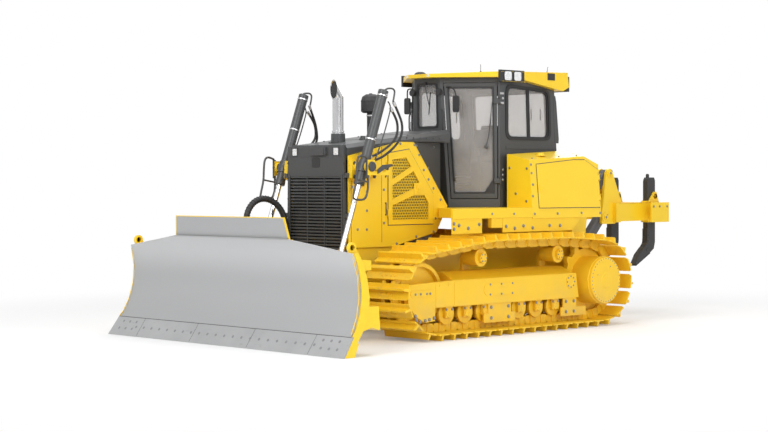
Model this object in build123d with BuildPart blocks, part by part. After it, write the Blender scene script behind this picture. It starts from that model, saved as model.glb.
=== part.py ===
from build123d import *
import math
import os

# A crawler bulldozer with a power-angle-tilt blade and a parallelogram ripper.
# Frame: millimetres, +X forward, +Y to the machine's left, +Z up, the ground at Z = 0.
# The origin is midway between the cutting edge and the back of the ripper.

# ---- tracks ---------------------------------------------------------------
GAUGE = 2235.0              # centre to centre of the two tracks
SHOE_WIDTH = 762.0
SHOE_COUNT = 44
SHOE_THICK = 16.0
GROUSER_HEIGHT = 65.0
GROUSER_TIP = 22.0
GROUSER_ROOT = 38.0
SHOE_GAP = 7.0              # left free at each end of a shoe
LINK_HALF = 52.0            # pitch line to either edge of a link
RAIL_WIDTH = 42.0           # each of the two rows of links
RAIL_SPACING = 150.0        # centre to centre of the two rows
IDLER_X = 1575.0
SPROCKET_X = -1505.0
IDLER_PITCH_R = 418.0
SPROCKET_PITCH_R = 452.0
CARRIER_X = (569.0, -849.0)
CARRIER_Z = 932.0
CARRIER_R = 103.0
ROLLER_R = 108.0
ROLLER_FIRST_X = 1185.0
ROLLER_STEP = 320.0
ROLLER_COUNT = 8
RUN_GAP = 0.4               # between a roller or wheel and what runs on it

TRACK_Y = GAUGE / 2
PITCH_Z = GROUSER_HEIGHT + SHOE_THICK + LINK_HALF
IDLER_Z = PITCH_Z + IDLER_PITCH_R
SPROCKET_Z = PITCH_Z + SPROCKET_PITCH_R
TRACK_INNER_Y = TRACK_Y - SHOE_WIDTH / 2
ROLLER_Z = PITCH_Z + LINK_HALF + ROLLER_R + RUN_GAP

# ---- track frames ----------------------------------------------------------
SIDE_Y = 1350.0             # outer face of the track frame's cover
FRAME_INNER_Y = 930.0
FRAME_BOTTOM_Z = 378.0
FRAME_RIDGE_Z = 690.0
FRAME_TOP_Z = 775.0
GUARD_Y = (1304.0, 1330.0)
GUARDS = (((55.0, 612.0), (130.0, 537.0)), ((-1288.0, -808.0), (-1100.0, -850.0)))  # strip and post of each, x

# ---- main frame and engine bay ----------------------------------------------
HULL_HALF = 500.0
HULL_BOTTOM_Z = 430.0
HULL_TOP_Z = 1075.0
HULL_FRONT_X = 2085.0
HULL_REAR_X = -1900.0
BAY_HALF = 550.0            # outer face of the engine side shields
PANEL = 25.0                # thickness of the sheet metal covers
GRILLE_X = 2135.0
GRILLE_HALF = 470.0
GRILLE_TOP_Z = 1930.0
GRILLE_BOTTOM_Z = 1010.0
SLAT_COUNT = 24
HOOD_FRONT_X = 2115.0
HOOD_FRONT_Z = 2293.0
HOOD_REAR_X = 300.0
HOOD_REAR_Z = 2500.0
HOOD_LOW_FRONT_Z = 2149.0
SHIELD_TOP_X = 1293.0
SHIELD_TOP_Z = 2335.0
SHIELD_REAR_TOP_X = 1023.0
SHIELD_REAR_LOW = (436.0, 1554.0)
SHIELD_LOW_EDGE = ((630.0, 1231.0), (772.0, 1215.0), (1353.0, 1075.0))

# ---- platform, tanks, cab ----------------------------------------------------
DECK_Z = 1527.0
DECK_LOW_Z = 1407.0
DECK_HALF = 855.0           # the platform between the tanks
BRACKET_LOW_Z = 1230.0
FENDER_Y = 1300.0
FENDER_RAIL = 35.0          # width of the step rail along the fender's outer edge
FENDER_FRONT_X = 1115.0
FENDER_FRONT = (            # its front edge curves round the sweep of the engine door, x and y
    (FENDER_FRONT_X, FENDER_Y - FENDER_RAIL), (960.0, 1240.0), (820.0, 1100.0), (690.0, 870.0),
    (650.0, 620.0))
TANK_FRONT_X = -315.0
TANK_REAR_X = -1645.0
TANK_BREAK_X = -1366.0
TANK_LOW_Z = 1390.0
TANK_HIGH_Z = 2112.0        # where its outer face is TANK_HIGH_Y out
TANK_REAR_TOP_Z = 2066.0
REAR_TANK_TOP_Z = 2060.0
TANK_LOW_Y = 1300.0
TANK_HIGH_Y = 1240.0
CAB_REAR_TOP_X = -1306.0
CAB_REAR_LOW_X = -1400.0
CAB_CORNER = (-266.0, 785.0)  # where the door's wall meets the side wall, x and y
WALL = 50.0
CAB_TOP_Z = 3160.0

# ---- lift linkage -----------------------------------------------------------
LIFT_PIVOT = (445.0, 550.0)
CYL_Y = 715.0               # the lift cylinders' plane
TRUNNION = (2013.0, 2030.0)
LIFT_EYE = (2460.0, 800.0)
CYL_TOP_LENGTH = 955.0
CYL_LOW_LENGTH = 225.0
CYL_R = 60.0
ROD_R = 32.0
EYE_GAP = 0.4               # beside an eye or a trunnion
TRUNNION_HALF = 70.0
LIFT_EYE_HALF = 34.0

# ---- blade ------------------------------------------------------------------
BLADE_TIP_X = 3645.0
BLADE_HALF = 2135.0
BLADE_TOP_HALF = 2030.0
BLADE_CORNER_Z = 1090.0
BLADE_TOP_Z = 1230.0
BLADE_FLAT_HALF = 1000.0
EDGE_TOP = (3491.0, 216.0)
BLADE_MID = (3328.0, 620.0)
BLADE_TOP = (3470.0, 1230.0)
BLADE_SKIN = 22.0
GUARD_TOP_Z = 1460.0
GUARD_FOOT_Z = 1216.0
GUARD_HALF = 1030.0
BLADE_EYE = (3330.0, 1150.0)        # lifting eyes behind its top corners, x and z
BLADE_EYE_Y = 1930.0
BLADE_EYE_R = 32.0
BLADE_EYE_HALF = 15.0
BALL_X = 2795.0
BALL_Z = 430.0
ANGLE_EYE = (2945.0, 750.0)
ANGLE_ANCHOR = (1695.0, 600.0)
ANGLE_Z = 600.0
ANGLE_TUBE_R = 41.0         # slim enough to pass the track's inner face at full angle
TILT_ANCHOR = (-300.0, 740.0)       # tilt cylinder's pins, y and z
TILT_EYE = (480.0, 840.0)

# ---- ripper -----------------------------------------------------------------
RIP_LOWER = (-2530.0, 1363.0)       # pins on the ripper frame, x and z
RIP_UPPER = (-2627.0, 1958.0)
RIP_ROOT = (-1990.0, 800.0)         # the lower link's pin on the tractor
RIP_ROOT_UPPER = (RIP_ROOT[0] + RIP_UPPER[0] - RIP_LOWER[0], RIP_ROOT[1] + RIP_UPPER[1] - RIP_LOWER[1])
LINK_Y = (505.0, 595.0)
RIP_PLATES = ((301.0, 340.0), (460.0, 499.0), (601.0, 640.0))     # tractor's plates beside links and rams
RIP_CYL_Y = 400.0
RIP_CYL_R = 60.0
RIP_ROD_R = 32.0
RIP_TUBE_LENGTH = 740.0
RIP_ROD_LENGTH = 640.0
RIP_ARM = (601.0, 700.0)
BEAM_FRONT_X = -3465.0
BEAM_REAR_X = -3645.0
BEAM_HALF = 850.0
BEAM_CAP_X = -3255.0        # front edge of the plates that close its ends
BEAM_TOP_Z = 1555.0
BEAM_LOW_Z = 1303.0
SHANK_FRONT_X = -3410.0
SHANK_REAR_X = -3582.0
SHANK_THICK = 80.0
SHANK_Y = (-641.0, 0.0, 641.0)
RIP_PIN_R = 30.0
FIT = 0.05                  # running clearance of a pin in its bore
SEAT = 0.3                  # gap between pieces that bear on each other
BARREL_HALF = 30.0          # half height of a door hinge's barrel
LUG = 12.0                  # thickness of the lugs above and below it


def block(xs, ys, zs, mode=Mode.ADD):
    """A rectangular block between two corners."""
    centre = [(low + high) / 2 for low, high in (xs, ys, zs)]
    with Locations(tuple(centre)):
        Box(abs(xs[1] - xs[0]), abs(ys[1] - ys[0]), abs(zs[1] - zs[0]), mode=mode)


def side_plate(points, ys, mode=Mode.ADD):
    """An outline seen from the side, (x, z), between two y values."""
    with BuildSketch(Plane.XZ.offset(-ys[0])) as outline:
        Polygon(*points, align=None)
    extrude(outline.sketch, amount=-(ys[1] - ys[0]), mode=mode)


def plan_plate(points, zs, mode=Mode.ADD):
    """An outline seen from above, (x, y), between two heights."""
    with BuildSketch(Plane.XY.offset(zs[0])) as outline:
        Polygon(*points, align=None)
    extrude(outline.sketch, amount=zs[1] - zs[0], mode=mode)


def front_plate(points, xs, mode=Mode.ADD):
    """An outline seen from the front, (y, z), between two x values."""
    with BuildSketch(Plane.YZ.offset(xs[0])) as outline:
        Polygon(*points, align=None)
    extrude(outline.sketch, amount=xs[1] - xs[0], mode=mode)


def bar(start, end, radius, mode=Mode.ADD):
    """A round bar between two points."""
    run = Vector(*end) - Vector(*start)
    with Locations(Plane(origin=start, z_dir=run)):
        Cylinder(radius, run.length, align=(Align.CENTER, Align.CENTER, Align.MIN), mode=mode)


def cross_bar(x, z, ys, radius, mode=Mode.ADD):
    """A round bar along y."""
    bar((x, ys[0], z), (x, ys[1], z), radius, mode)


def roller_bar(x, z, ys, radius, sides=20):
    """A many-sided bar along y with a flat at the top and at the bottom."""
    reach = radius / math.cos(math.pi / sides)
    angles = [2 * math.pi * (i + 0.5) / sides for i in range(sides)]
    side_plate([(x + reach * math.sin(a), z + reach * math.cos(a)) for a in angles], ys)


def hinge_lugs(x, y, heights, pin_r, seat_xs, seat_ys):
    """Vertical hinge pins, each held by a lug above and below its barrel."""
    for z in heights:
        bar((x, y, z - BARREL_HALF - LUG), (x, y, z + BARREL_HALF + LUG), pin_r)
        for low in (z - BARREL_HALF - LUG, z + BARREL_HALF + 0.5):
            block(seat_xs, seat_ys, (low, low + LUG - 0.5))


def hinge_barrels(x, y, heights, pin_r, wall):
    """The barrels of a leaf round those pins."""
    for z in heights:
        bar((x, y, z - BARREL_HALF), (x, y, z + BARREL_HALF), pin_r + wall)
        bar((x, y, z - BARREL_HALF - 1), (x, y, z + BARREL_HALF + 1), pin_r + FIT, Mode.SUBTRACT)


def save(part, name):
    part.label = name
    export_step(part, f"parts/{name}.step")


def save_sides(part, stem):
    """Writes a left-hand piece and its mirror image."""
    save(part, stem + "_left")
    save(mirror(part, about=Plane.XZ), stem + "_right")


def save_both(part, name):
    """Writes a left-hand piece and its mirror image as one node."""
    save(Compound(label=name, children=[Part(s.wrapped) for s in part.solids()]
                  + [Part(s.wrapped) for s in mirror(part, about=Plane.XZ).solids()]), name)


def belt(circles):
    """The taut line round a ring of circles, as points; each circle is (x, z, radius)."""
    path = []
    for (x, z, r), (nx, nz, nr), (px, pz, pr) in zip(circles, circles[1:] + circles[:1],
                                                     circles[-1:] + circles[:-1]):
        arrive = tangent_angle((px, pz, pr), (x, z, r))
        leave = tangent_angle((x, z, r), (nx, nz, nr))
        while leave < arrive:
            leave += 2 * math.pi
        steps = max(2, round(math.degrees(leave - arrive)))
        for i in range(steps + 1):
            angle = arrive + (leave - arrive) * i / steps
            path.append((x + r * math.cos(angle), z + r * math.sin(angle)))
    return path


def tangent_angle(first, second):
    """Direction from either centre to the tangent point of the outer tangent."""
    dx, dz = second[0] - first[0], second[1] - first[1]
    lean = math.asin((first[2] - second[2]) / math.hypot(dx, dz))
    return math.atan2(dz, dx) - math.pi / 2 + lean


def spaced(path, count):
    """That many points at equal steps along a closed line."""
    closed = path + path[:1]
    lengths = [math.dist(a, b) for a, b in zip(closed, closed[1:])]
    step = sum(lengths) / count
    points, walked, target = [], 0.0, 0.0
    for a, b, length in zip(closed, closed[1:], lengths):
        while length > 0 and walked + length > target + 1e-6 and len(points) < count:
            share = (target - walked) / length
            points.append((a[0] + (b[0] - a[0]) * share, a[1] + (b[1] - a[1]) * share))
            target += step
        walked += length
    return points, step


os.makedirs("parts", exist_ok=True)

# ============================ tracks ==========================================
PINS, PITCH = spaced(belt([
    (SPROCKET_X, SPROCKET_Z, SPROCKET_PITCH_R),
    (IDLER_X, IDLER_Z, IDLER_PITCH_R),
    (CARRIER_X[0], CARRIER_Z, CARRIER_R + LINK_HALF + RUN_GAP),
    (CARRIER_X[1], CARRIER_Z, CARRIER_R + LINK_HALF + RUN_GAP)]), SHOE_COUNT)


def along_chain(profile):
    """Repeats (along, outward) points on every link of the chain."""
    points = []
    for (x0, z0), (x1, z1) in zip(PINS, PINS[1:] + PINS[:1]):
        length = math.hypot(x1 - x0, z1 - z0)
        ux, uz = (x1 - x0) / length, (z1 - z0) / length
        points += [(x0 + ux * length * s + uz * h, z0 + uz * length * s - ux * h) for s, h in profile]
    return points


shoe_base = LINK_HALF
shoe_face = LINK_HALF + SHOE_THICK
grouser_top = shoe_face + GROUSER_HEIGHT
edge_share = SHOE_GAP / PITCH
LINK_SHARE = 0.09           # part of the pitch left open between two links' edges
LINK_SEAT = 5.0             # the links' depth in the shoes
SHOE_OUTLINE = [            # share of the pitch, distance out from the pitch line
    (edge_share, shoe_face),
    (0.62 - GROUSER_ROOT / PITCH / 2, shoe_face),
    (0.62 - GROUSER_TIP / PITCH / 2, grouser_top),
    (0.62 + GROUSER_TIP / PITCH / 2, grouser_top),
    (0.62 + GROUSER_ROOT / PITCH / 2, shoe_face),
    (1 - edge_share, shoe_face)]
with BuildPart() as track:
    with BuildSketch(Plane.XZ.offset(-TRACK_INNER_Y)) as band:
        Polygon(*along_chain(SHOE_OUTLINE), align=None)
        Polygon(*along_chain([(0.0, shoe_base)]), align=None, mode=Mode.SUBTRACT)
    extrude(band.sketch, amount=-SHOE_WIDTH)
    for rail_y in (TRACK_Y - RAIL_SPACING / 2, TRACK_Y + RAIL_SPACING / 2):
        with BuildSketch(Plane.XZ.offset(-(rail_y - RAIL_WIDTH / 2))) as rail:
            Polygon(*along_chain([(0.0, shoe_base + LINK_SEAT)]), align=None)
            Polygon(*along_chain([(LINK_SHARE, -LINK_HALF), (1 - LINK_SHARE, -LINK_HALF)]), align=None,
                    mode=Mode.SUBTRACT)
        extrude(rail.sketch, amount=-RAIL_WIDTH)
save_sides(track.part, "track")

# ============================ rolling gear =====================================
inner_rail_y = TRACK_Y - RAIL_SPACING / 2
outer_rail_y = TRACK_Y + RAIL_SPACING / 2
ROLLER_FLANGE = 22.0        # height of the flanges beside the treads
ROLLER_WAIST = 62.0
ROLLER_REACH = 72.0         # from a rail to the roller's end
TREAD_HALF = 28.0
FLANGE_WIDTH = 34.0
with BuildPart() as roller:
    roller_bar(0, ROLLER_Z, (inner_rail_y - ROLLER_REACH, outer_rail_y + ROLLER_REACH), ROLLER_WAIST, 12)
    for rail_y, out in ((inner_rail_y, -1), (outer_rail_y, 1)):
        roller_bar(0, ROLLER_Z, (rail_y - TREAD_HALF, rail_y + TREAD_HALF), ROLLER_R)
        flange = sorted((rail_y + out * TREAD_HALF, rail_y + out * (TREAD_HALF + FLANGE_WIDTH)))
        roller_bar(0, ROLLER_Z, flange, ROLLER_R + ROLLER_FLANGE)
        saddle = sorted((rail_y + out * ROLLER_REACH, rail_y + out * 110))
        block((-ROLLER_WAIST, ROLLER_WAIST), saddle, (ROLLER_Z - 46, FRAME_BOTTOM_Z - SEAT))
with BuildPart() as carrier_roller:
    roller_bar(0, CARRIER_Z, (inner_rail_y - TREAD_HALF, outer_rail_y + TREAD_HALF), CARRIER_R - 6)
    roller_bar(0, CARRIER_Z, (outer_rail_y + TREAD_HALF, outer_rail_y + 50), CARRIER_R + 4)
    roller_bar(0, CARRIER_Z, (outer_rail_y + 50, outer_rail_y + 90), ROLLER_WAIST)
    roller_bar(0, CARRIER_Z, (inner_rail_y - 110, inner_rail_y - TREAD_HALF), 50)
    block((-55, 55), (inner_rail_y - 110, inner_rail_y - 60), (FRAME_TOP_Z + SEAT, CARRIER_Z))
with BuildPart() as rollers:
    with Locations(*[(ROLLER_FIRST_X - i * ROLLER_STEP, 0, 0) for i in range(ROLLER_COUNT)]):
        add(roller.part)
    with Locations(*[(x, 0, 0) for x in CARRIER_X]):
        add(carrier_roller.part)
save_both(rollers.part, "rollers")

CHEEK_OUT = 90.0            # from a rail to the cheek of the idler's yoke
with BuildPart() as idler:
    rim_r = IDLER_PITCH_R * math.cos(math.pi / 13) - LINK_HALF - 3.0
    cross_bar(IDLER_X, IDLER_Z, (inner_rail_y - 26, outer_rail_y + 26), rim_r)
    cross_bar(IDLER_X, IDLER_Z, (inner_rail_y - 26, inner_rail_y + 60), rim_r - 45, Mode.SUBTRACT)
    cross_bar(IDLER_X, IDLER_Z, (outer_rail_y - 60, outer_rail_y + 26), rim_r - 45, Mode.SUBTRACT)
    cross_bar(IDLER_X, IDLER_Z, (inner_rail_y + TREAD_HALF + 3, outer_rail_y - TREAD_HALF - 3), rim_r + 22)
    cross_bar(IDLER_X, IDLER_Z, (inner_rail_y - CHEEK_OUT + SEAT, outer_rail_y + CHEEK_OUT - SEAT), 95)
save_both(idler.part, "idlers")

DRUM_R = 305.0
SPROCKET_TEETH = 14
with BuildPart() as sprocket:
    tooth_tip = SPROCKET_PITCH_R + 14
    tooth_root = SPROCKET_PITCH_R - 48
    teeth = []
    for i in range(SPROCKET_TEETH):
        for share, radius in ((0.18, tooth_root), (0.40, tooth_tip), (0.60, tooth_tip), (0.82, tooth_root)):
            angle = 2 * math.pi * (i + share) / SPROCKET_TEETH
            teeth.append((SPROCKET_X + radius * math.cos(angle), SPROCKET_Z + radius * math.sin(angle)))
    side_plate(teeth, (TRACK_Y - 35, TRACK_Y + 35))
    cross_bar(SPROCKET_X, SPROCKET_Z, (HULL_HALF + SEAT, TRACK_Y - 35), 250)
    cross_bar(SPROCKET_X, SPROCKET_Z, (TRACK_Y + 35, 1440), DRUM_R)
    cross_bar(SPROCKET_X, SPROCKET_Z, (1440, 1478), DRUM_R - 9)
    cross_bar(SPROCKET_X, SPROCKET_Z, (1478, 1486), DRUM_R - 17)
save_both(sprocket.part, "final_drives")

# ============================ track frames =====================================
ROLLER_CHANNEL_Z = 432.0    # top of the channel that the rollers' flanges run in
with BuildPart() as track_frame:
    front_x = IDLER_X - 400
    section = [(FRAME_INNER_Y, FRAME_BOTTOM_Z), (SIDE_Y, FRAME_BOTTOM_Z), (SIDE_Y, FRAME_RIDGE_Z),
               (TRACK_Y + 60, FRAME_TOP_Z), (FRAME_INNER_Y, FRAME_TOP_Z)]
    front_plate(section, (-1000.0, front_x))
    # the idler's yoke: an outer and an inner cheek
    cheek = [(front_x, FRAME_BOTTOM_Z), (1470.0, FRAME_BOTTOM_Z), (1470.0, 225.0), (1640.0, 215.0),
             (1800.0, 300.0), (1905.0, 440.0), (1925.0, 560.0), (1880.0, 665.0), (front_x, FRAME_RIDGE_Z)]
    side_plate(cheek, (outer_rail_y + CHEEK_OUT, SIDE_Y))
    inner_cheek = [(front_x, FRAME_BOTTOM_Z), (1700.0, FRAME_BOTTOM_Z), (1700.0, FRAME_RIDGE_Z),
                   (front_x, FRAME_TOP_Z)]
    side_plate(inner_cheek, (FRAME_INNER_Y, inner_rail_y - CHEEK_OUT))
    # the rear end steps in ahead of the final drive
    rear = [(-1000.0, FRAME_BOTTOM_Z), (-1000.0, FRAME_RIDGE_Z), (-1075.0, FRAME_RIDGE_Z),
            (-1125.0, FRAME_BOTTOM_Z)]
    side_plate(rear, (FRAME_INNER_Y, SIDE_Y))
    block((-1300.0, front_x), (inner_rail_y - 75, outer_rail_y + 74), (FRAME_BOTTOM_Z - 50, ROLLER_CHANNEL_Z),
          Mode.SUBTRACT)
    cross_bar(SPROCKET_X, SPROCKET_Z, (TRACK_Y - 45, TRACK_Y + 45), SPROCKET_PITCH_R + 24, Mode.SUBTRACT)
    # roller guards
    for strip, post in GUARDS:
        block(strip, GUARD_Y, (150.0, 262.0))
        block(post, GUARD_Y, (261.0, FRAME_BOTTOM_Z + 1))
    # cross shaft and equalizer seats that carry the frame on the hull
    cross_bar(-620.0, 575.0, (HULL_HALF + SEAT, FRAME_INNER_Y + 1), 110)
    block((100.0, 260.0), (HULL_HALF + SEAT, FRAME_INNER_Y + 1), (560.0, 700.0))
save_both(track_frame.part, "track_frames")

# ============================ main frame =======================================
with BuildPart() as main_frame:
    hull = [(HULL_REAR_X, 760.0), (-1700.0, HULL_BOTTOM_Z), (1850.0, HULL_BOTTOM_Z),
            (HULL_FRONT_X, 640.0), (HULL_FRONT_X, 980.0), (1900.0, HULL_TOP_Z - SEAT),
            (HULL_REAR_X, HULL_TOP_Z - SEAT)]
    side_plate(hull, (-HULL_HALF, HULL_HALF))
    # rear transmission case between the tanks
    side_plate([(-900.0, HULL_TOP_Z - SEAT), (HULL_REAR_X, HULL_TOP_Z - SEAT), (HULL_REAR_X, 1300.0),
                (-1800.0, DECK_LOW_Z - SEAT), (-900.0, DECK_LOW_Z - SEAT)], (-HULL_HALF, HULL_HALF))
    # side bosses that carry the push frame
    for side in (-1, 1):
        cross_bar(LIFT_PIVOT[0], LIFT_PIVOT[1], (side * HULL_HALF, side * 548.0), 80)
        cross_bar(LIFT_PIVOT[0], LIFT_PIVOT[1], (side * 548.0, side * 672.0), 44.9)
    # ripper bracket plates on the rear case, with the links' pins
    for side in (-1, 1):
        for ys in RIP_PLATES:
            side_plate([(HULL_REAR_X + 60, 640.0), (-2060.0, 700.0), (-2070.0, 880.0), (-2150.0, 1340.0),
                        (-2150.0, 1440.0), (-2100.0, 1470.0), (HULL_REAR_X + 60, 1300.0)],
                       sorted((side * ys[0], side * ys[1])))
        cross_bar(*RIP_ROOT, sorted((side * RIP_PLATES[0][0], side * RIP_PLATES[2][1])), RIP_PIN_R)
        cross_bar(*RIP_ROOT_UPPER, sorted((side * RIP_PLATES[1][0], side * RIP_PLATES[2][1])), RIP_PIN_R)
save(main_frame.part, "main_frame")

with BuildPart() as engine:
    block((500.0, 1800.0), (-330.0, 330.0), (HULL_TOP_Z, 2120.0))
save(engine.part, "engine")

# ============================ engine bay =======================================
hood_rise = (HOOD_REAR_Z - HOOD_FRONT_Z) / (HOOD_FRONT_X - HOOD_REAR_X)
low_rise = (SHIELD_TOP_Z - HOOD_LOW_FRONT_Z) / (2142.0 - SHIELD_TOP_X)
HOOD_SECTIONS = (           # x, half width, bottom of the side, top
    (HOOD_FRONT_X - 20, 525.0, HOOD_LOW_FRONT_Z + low_rise * 47, HOOD_FRONT_Z),
    (SHIELD_TOP_X, BAY_HALF, SHIELD_TOP_Z, HOOD_FRONT_Z + hood_rise * (HOOD_FRONT_X - SHIELD_TOP_X)),
    (HOOD_REAR_X, BAY_HALF - 20, SHIELD_TOP_Z, HOOD_REAR_Z),
)
HOOD_EDGE = (60.0, 45.0)    # the bevel along its top corners, across and down


def hood_loft(inset, floor_z):
    """The hood's outer form, or with an inset the space below it."""
    faces = []
    for x, half, low, top in HOOD_SECTIONS:
        half, top, low = half - inset, top - inset, floor_z or low
        with BuildSketch(Plane.YZ.offset(x)) as section:
            Polygon((-half, low), (half, low), (half, top - HOOD_EDGE[1]), (half - HOOD_EDGE[0], top),
                    (HOOD_EDGE[0] - half, top), (-half, top - HOOD_EDGE[1]), align=None)
        faces.append(section.sketch.face())
    return faces


with BuildPart() as hood:
    loft(hood_loft(0, None), ruled=True)
    with BuildPart(mode=Mode.PRIVATE) as hollow:
        loft(hood_loft(PANEL, 2050.0), ruled=True)
    add(hollow.part, mode=Mode.SUBTRACT)
    # its rear corners are cut back from the cab doors' sweep
    for side in (-1, 1):
        plan_plate([(290.0, side * 384.0), (384.0, side * 553.0), (384.0, side * 600.0), (290.0, side * 600.0)],
                   (2300.0, 2600.0), Mode.SUBTRACT)
save(hood.part, "hood")

with BuildPart() as front_head:
    head = [(-525.0, 960.0), (525.0, 960.0), (500.0, HOOD_LOW_FRONT_Z + 140), (470.0, HOOD_FRONT_Z - 12),
            (-470.0, HOOD_FRONT_Z - 12), (-500.0, HOOD_LOW_FRONT_Z + 140)]
    front_plate(head, (HOOD_FRONT_X - 19.5, GRILLE_X))
    block((HOOD_FRONT_X - 60, GRILLE_X + 1), (-GRILLE_HALF, GRILLE_HALF),
          (GRILLE_BOTTOM_Z, GRILLE_TOP_Z), Mode.SUBTRACT)
    for y in (-370.0, 370.0):
        block((GRILLE_X - 8, GRILLE_X + 1), (y - 50, y + 50), (2165.0, 2262.0), Mode.SUBTRACT)
save(front_head.part, "front_head")

with BuildPart() as grille:
    slat_step = (GRILLE_TOP_Z - GRILLE_BOTTOM_Z) / SLAT_COUNT
    for i in range(SLAT_COUNT):
        z = GRILLE_BOTTOM_Z + slat_step * (i + 0.5)
        side_plate([(GRILLE_X - 34, z - 11), (GRILLE_X - 6, z - 4), (GRILLE_X - 6, z + 4),
                    (GRILLE_X - 34, z + 3)], (-GRILLE_HALF + SEAT, GRILLE_HALF - SEAT))
    for y in (-170.0, 170.0):
        block((GRILLE_X - 40, GRILLE_X - 20), (y - 8, y + 8),
              (GRILLE_BOTTOM_Z + SEAT, GRILLE_TOP_Z - SEAT))
save(grille.part, "grille")

with BuildPart() as lamps:
    for y in (-370.0, 370.0):
        block((GRILLE_X - 7.7, GRILLE_X + 4), (y - 40, y + 40), (2172.0, 2255.0))
save(lamps.part, "front_lamps")

low_line = [(SHIELD_TOP_X, SHIELD_TOP_Z - 0.4), (2095.0, HOOD_LOW_FRONT_Z + low_rise * 47 - 0.4)]
DOOR = [(1464.0, 1330.0), (1464.0, 2200.0), (1105.0, 2250.0), (690.0, 1700.0), (690.0, 1330.0)]
DOOR_HINGE = (1470.0, 570.0)         # the engine door's hinge line, x and y
DOOR_HINGE_Z = (1480.0, 2050.0)
DOOR_PIN_R = 6.0
with BuildPart() as shield:
    outline = [(HOOD_FRONT_X - 20, SHIELD_LOW_EDGE[2][1]), low_line[1], low_line[0],
               (SHIELD_REAR_TOP_X, SHIELD_TOP_Z - 0.4), SHIELD_REAR_LOW, *SHIELD_LOW_EDGE]
    side_plate(outline, (BAY_HALF - PANEL, BAY_HALF))
    side_plate(DOOR, (BAY_HALF - PANEL, BAY_HALF), Mode.SUBTRACT)
    hinge_lugs(*DOOR_HINGE, DOOR_HINGE_Z, DOOR_PIN_R, (DOOR_HINGE[0] - 4, DOOR_HINGE[0] + 12),
               (BAY_HALF - 1, DOOR_HINGE[1] + 8))
save_both(shield.part, "engine_shields")

DOOR_GAP = 6.0
DOOR_PROUD = 12.0
DOOR_PANES = (              # corners of each mesh pane, x and z
    ((1401.0, 1880.0), (1401.0, 2120.0), (1165.0, 2150.0), (1075.0, 2035.0)),
    ((1401.0, 1640.0), (1401.0, 1810.0), (1040.0, 1985.0), (915.0, 1810.0)),
    ((1401.0, 1395.0), (1401.0, 1570.0), (890.0, 1740.0), (780.0, 1590.0), (780.0, 1395.0)),
)
with BuildPart() as engine_door:
    with BuildSketch(Plane.XZ.offset(-(BAY_HALF - PANEL + 5))) as leaf:
        Polygon(*DOOR, align=None)
        offset(amount=-DOOR_GAP, kind=Kind.INTERSECTION)
        for pane in DOOR_PANES:
            Polygon(*pane, align=None, mode=Mode.SUBTRACT)
    extrude(leaf.sketch, amount=-(PANEL - 5 + DOOR_PROUD))
    for z in DOOR_HINGE_Z:
        block((DOOR_HINGE[0] - 60, DOOR_HINGE[0]), (BAY_HALF + DOOR_PROUD - 1, DOOR_HINGE[1] + 4),
              (z - BARREL_HALF, z + BARREL_HALF))
    hinge_barrels(*DOOR_HINGE, DOOR_HINGE_Z, DOOR_PIN_R, 5)
save_sides(engine_door.part, "engine_door")
with BuildPart() as mesh:
    for pane in DOOR_PANES:
        side_plate(pane, (BAY_HALF - 12, BAY_HALF - 4))
save_sides(mesh.part, "door_mesh")

with BuildPart() as cowl:
    flank = [(1020.0, 548.0), (350.0, 340.0), (350.0, 300.0), (1020.0, 508.0)]
    plan_plate(flank, (DECK_Z + SEAT, 2333.0))
    side_plate([(1020.0, 2334.0), (443.0, 1540.0), (1100.0, 1500.0), (1100.0, 2334.0)],
               (0.0, 600.0), Mode.SUBTRACT)
save_both(cowl.part, "cowl")

EXHAUST_X = 1765.0
EXHAUST_R = 66.0
EXHAUST_BEND_Z = 2869.0
EXHAUST_LEAN = 34.0         # degrees forward of its last part
EXHAUST_CUT_X = 1833.0      # its mouth faces forward here
HOOD_SPACE = [(x, top + SEAT) for x, half, low, top in HOOD_SECTIONS] + [
    (HOOD_REAR_X, 2100.0), (HOOD_FRONT_X - 20, 2100.0)]             # what lies under the hood's top
with BuildPart() as exhaust:
    bar((EXHAUST_X, 0, 2300.0), (EXHAUST_X, 0, 2440.0), EXHAUST_R + 16)
    bend = Vector(EXHAUST_X, 0, EXHAUST_BEND_Z)
    tip = bend + Vector(math.sin(math.radians(EXHAUST_LEAN)), 0, math.cos(math.radians(EXHAUST_LEAN))) * 300
    bar((EXHAUST_X, 0, 2430.0), tuple(bend), EXHAUST_R)
    with Locations(tuple(bend)):
        Sphere(EXHAUST_R)
    bar(tuple(bend), tuple(tip), EXHAUST_R)
    bar(tuple(bend), tuple(tip), EXHAUST_R - 5, Mode.SUBTRACT)
    block((EXHAUST_CUT_X, EXHAUST_CUT_X + 300), (-200, 200), (2700.0, 3300.0), Mode.SUBTRACT)
    side_plate(HOOD_SPACE, (-200, 200), Mode.SUBTRACT)
save(exhaust.part, "exhaust_stack")

PRECLEANER_X = 1220.0
with BuildPart() as precleaner:
    bar((PRECLEANER_X, 0, 2350.0), (PRECLEANER_X, 0, 2710.0), 48)
    side_plate(HOOD_SPACE, (-200, 200), Mode.SUBTRACT)
    with BuildSketch(Plane.XZ) as bowl:
        with BuildLine():
            Polyline((PRECLEANER_X, 2700), (PRECLEANER_X + 100, 2700), (PRECLEANER_X + 118, 2716),
                     (PRECLEANER_X + 121, 2850), (PRECLEANER_X + 104, 2900), (PRECLEANER_X + 60, 2928),
                     (PRECLEANER_X, 2932), close=True)
        make_face()
    revolve(bowl.sketch, axis=Axis((PRECLEANER_X, 0, 0), (0, 0, 1)))
save(precleaner.part, "precleaner")

# ============================ lift cylinders ===================================
def toward(start, end, distance):
    """The point at a distance from start towards end, in side view."""
    length = math.dist(start, end)
    return (start[0] + (end[0] - start[0]) * distance / length,
            start[1] + (end[1] - start[1]) * distance / length)


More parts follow.
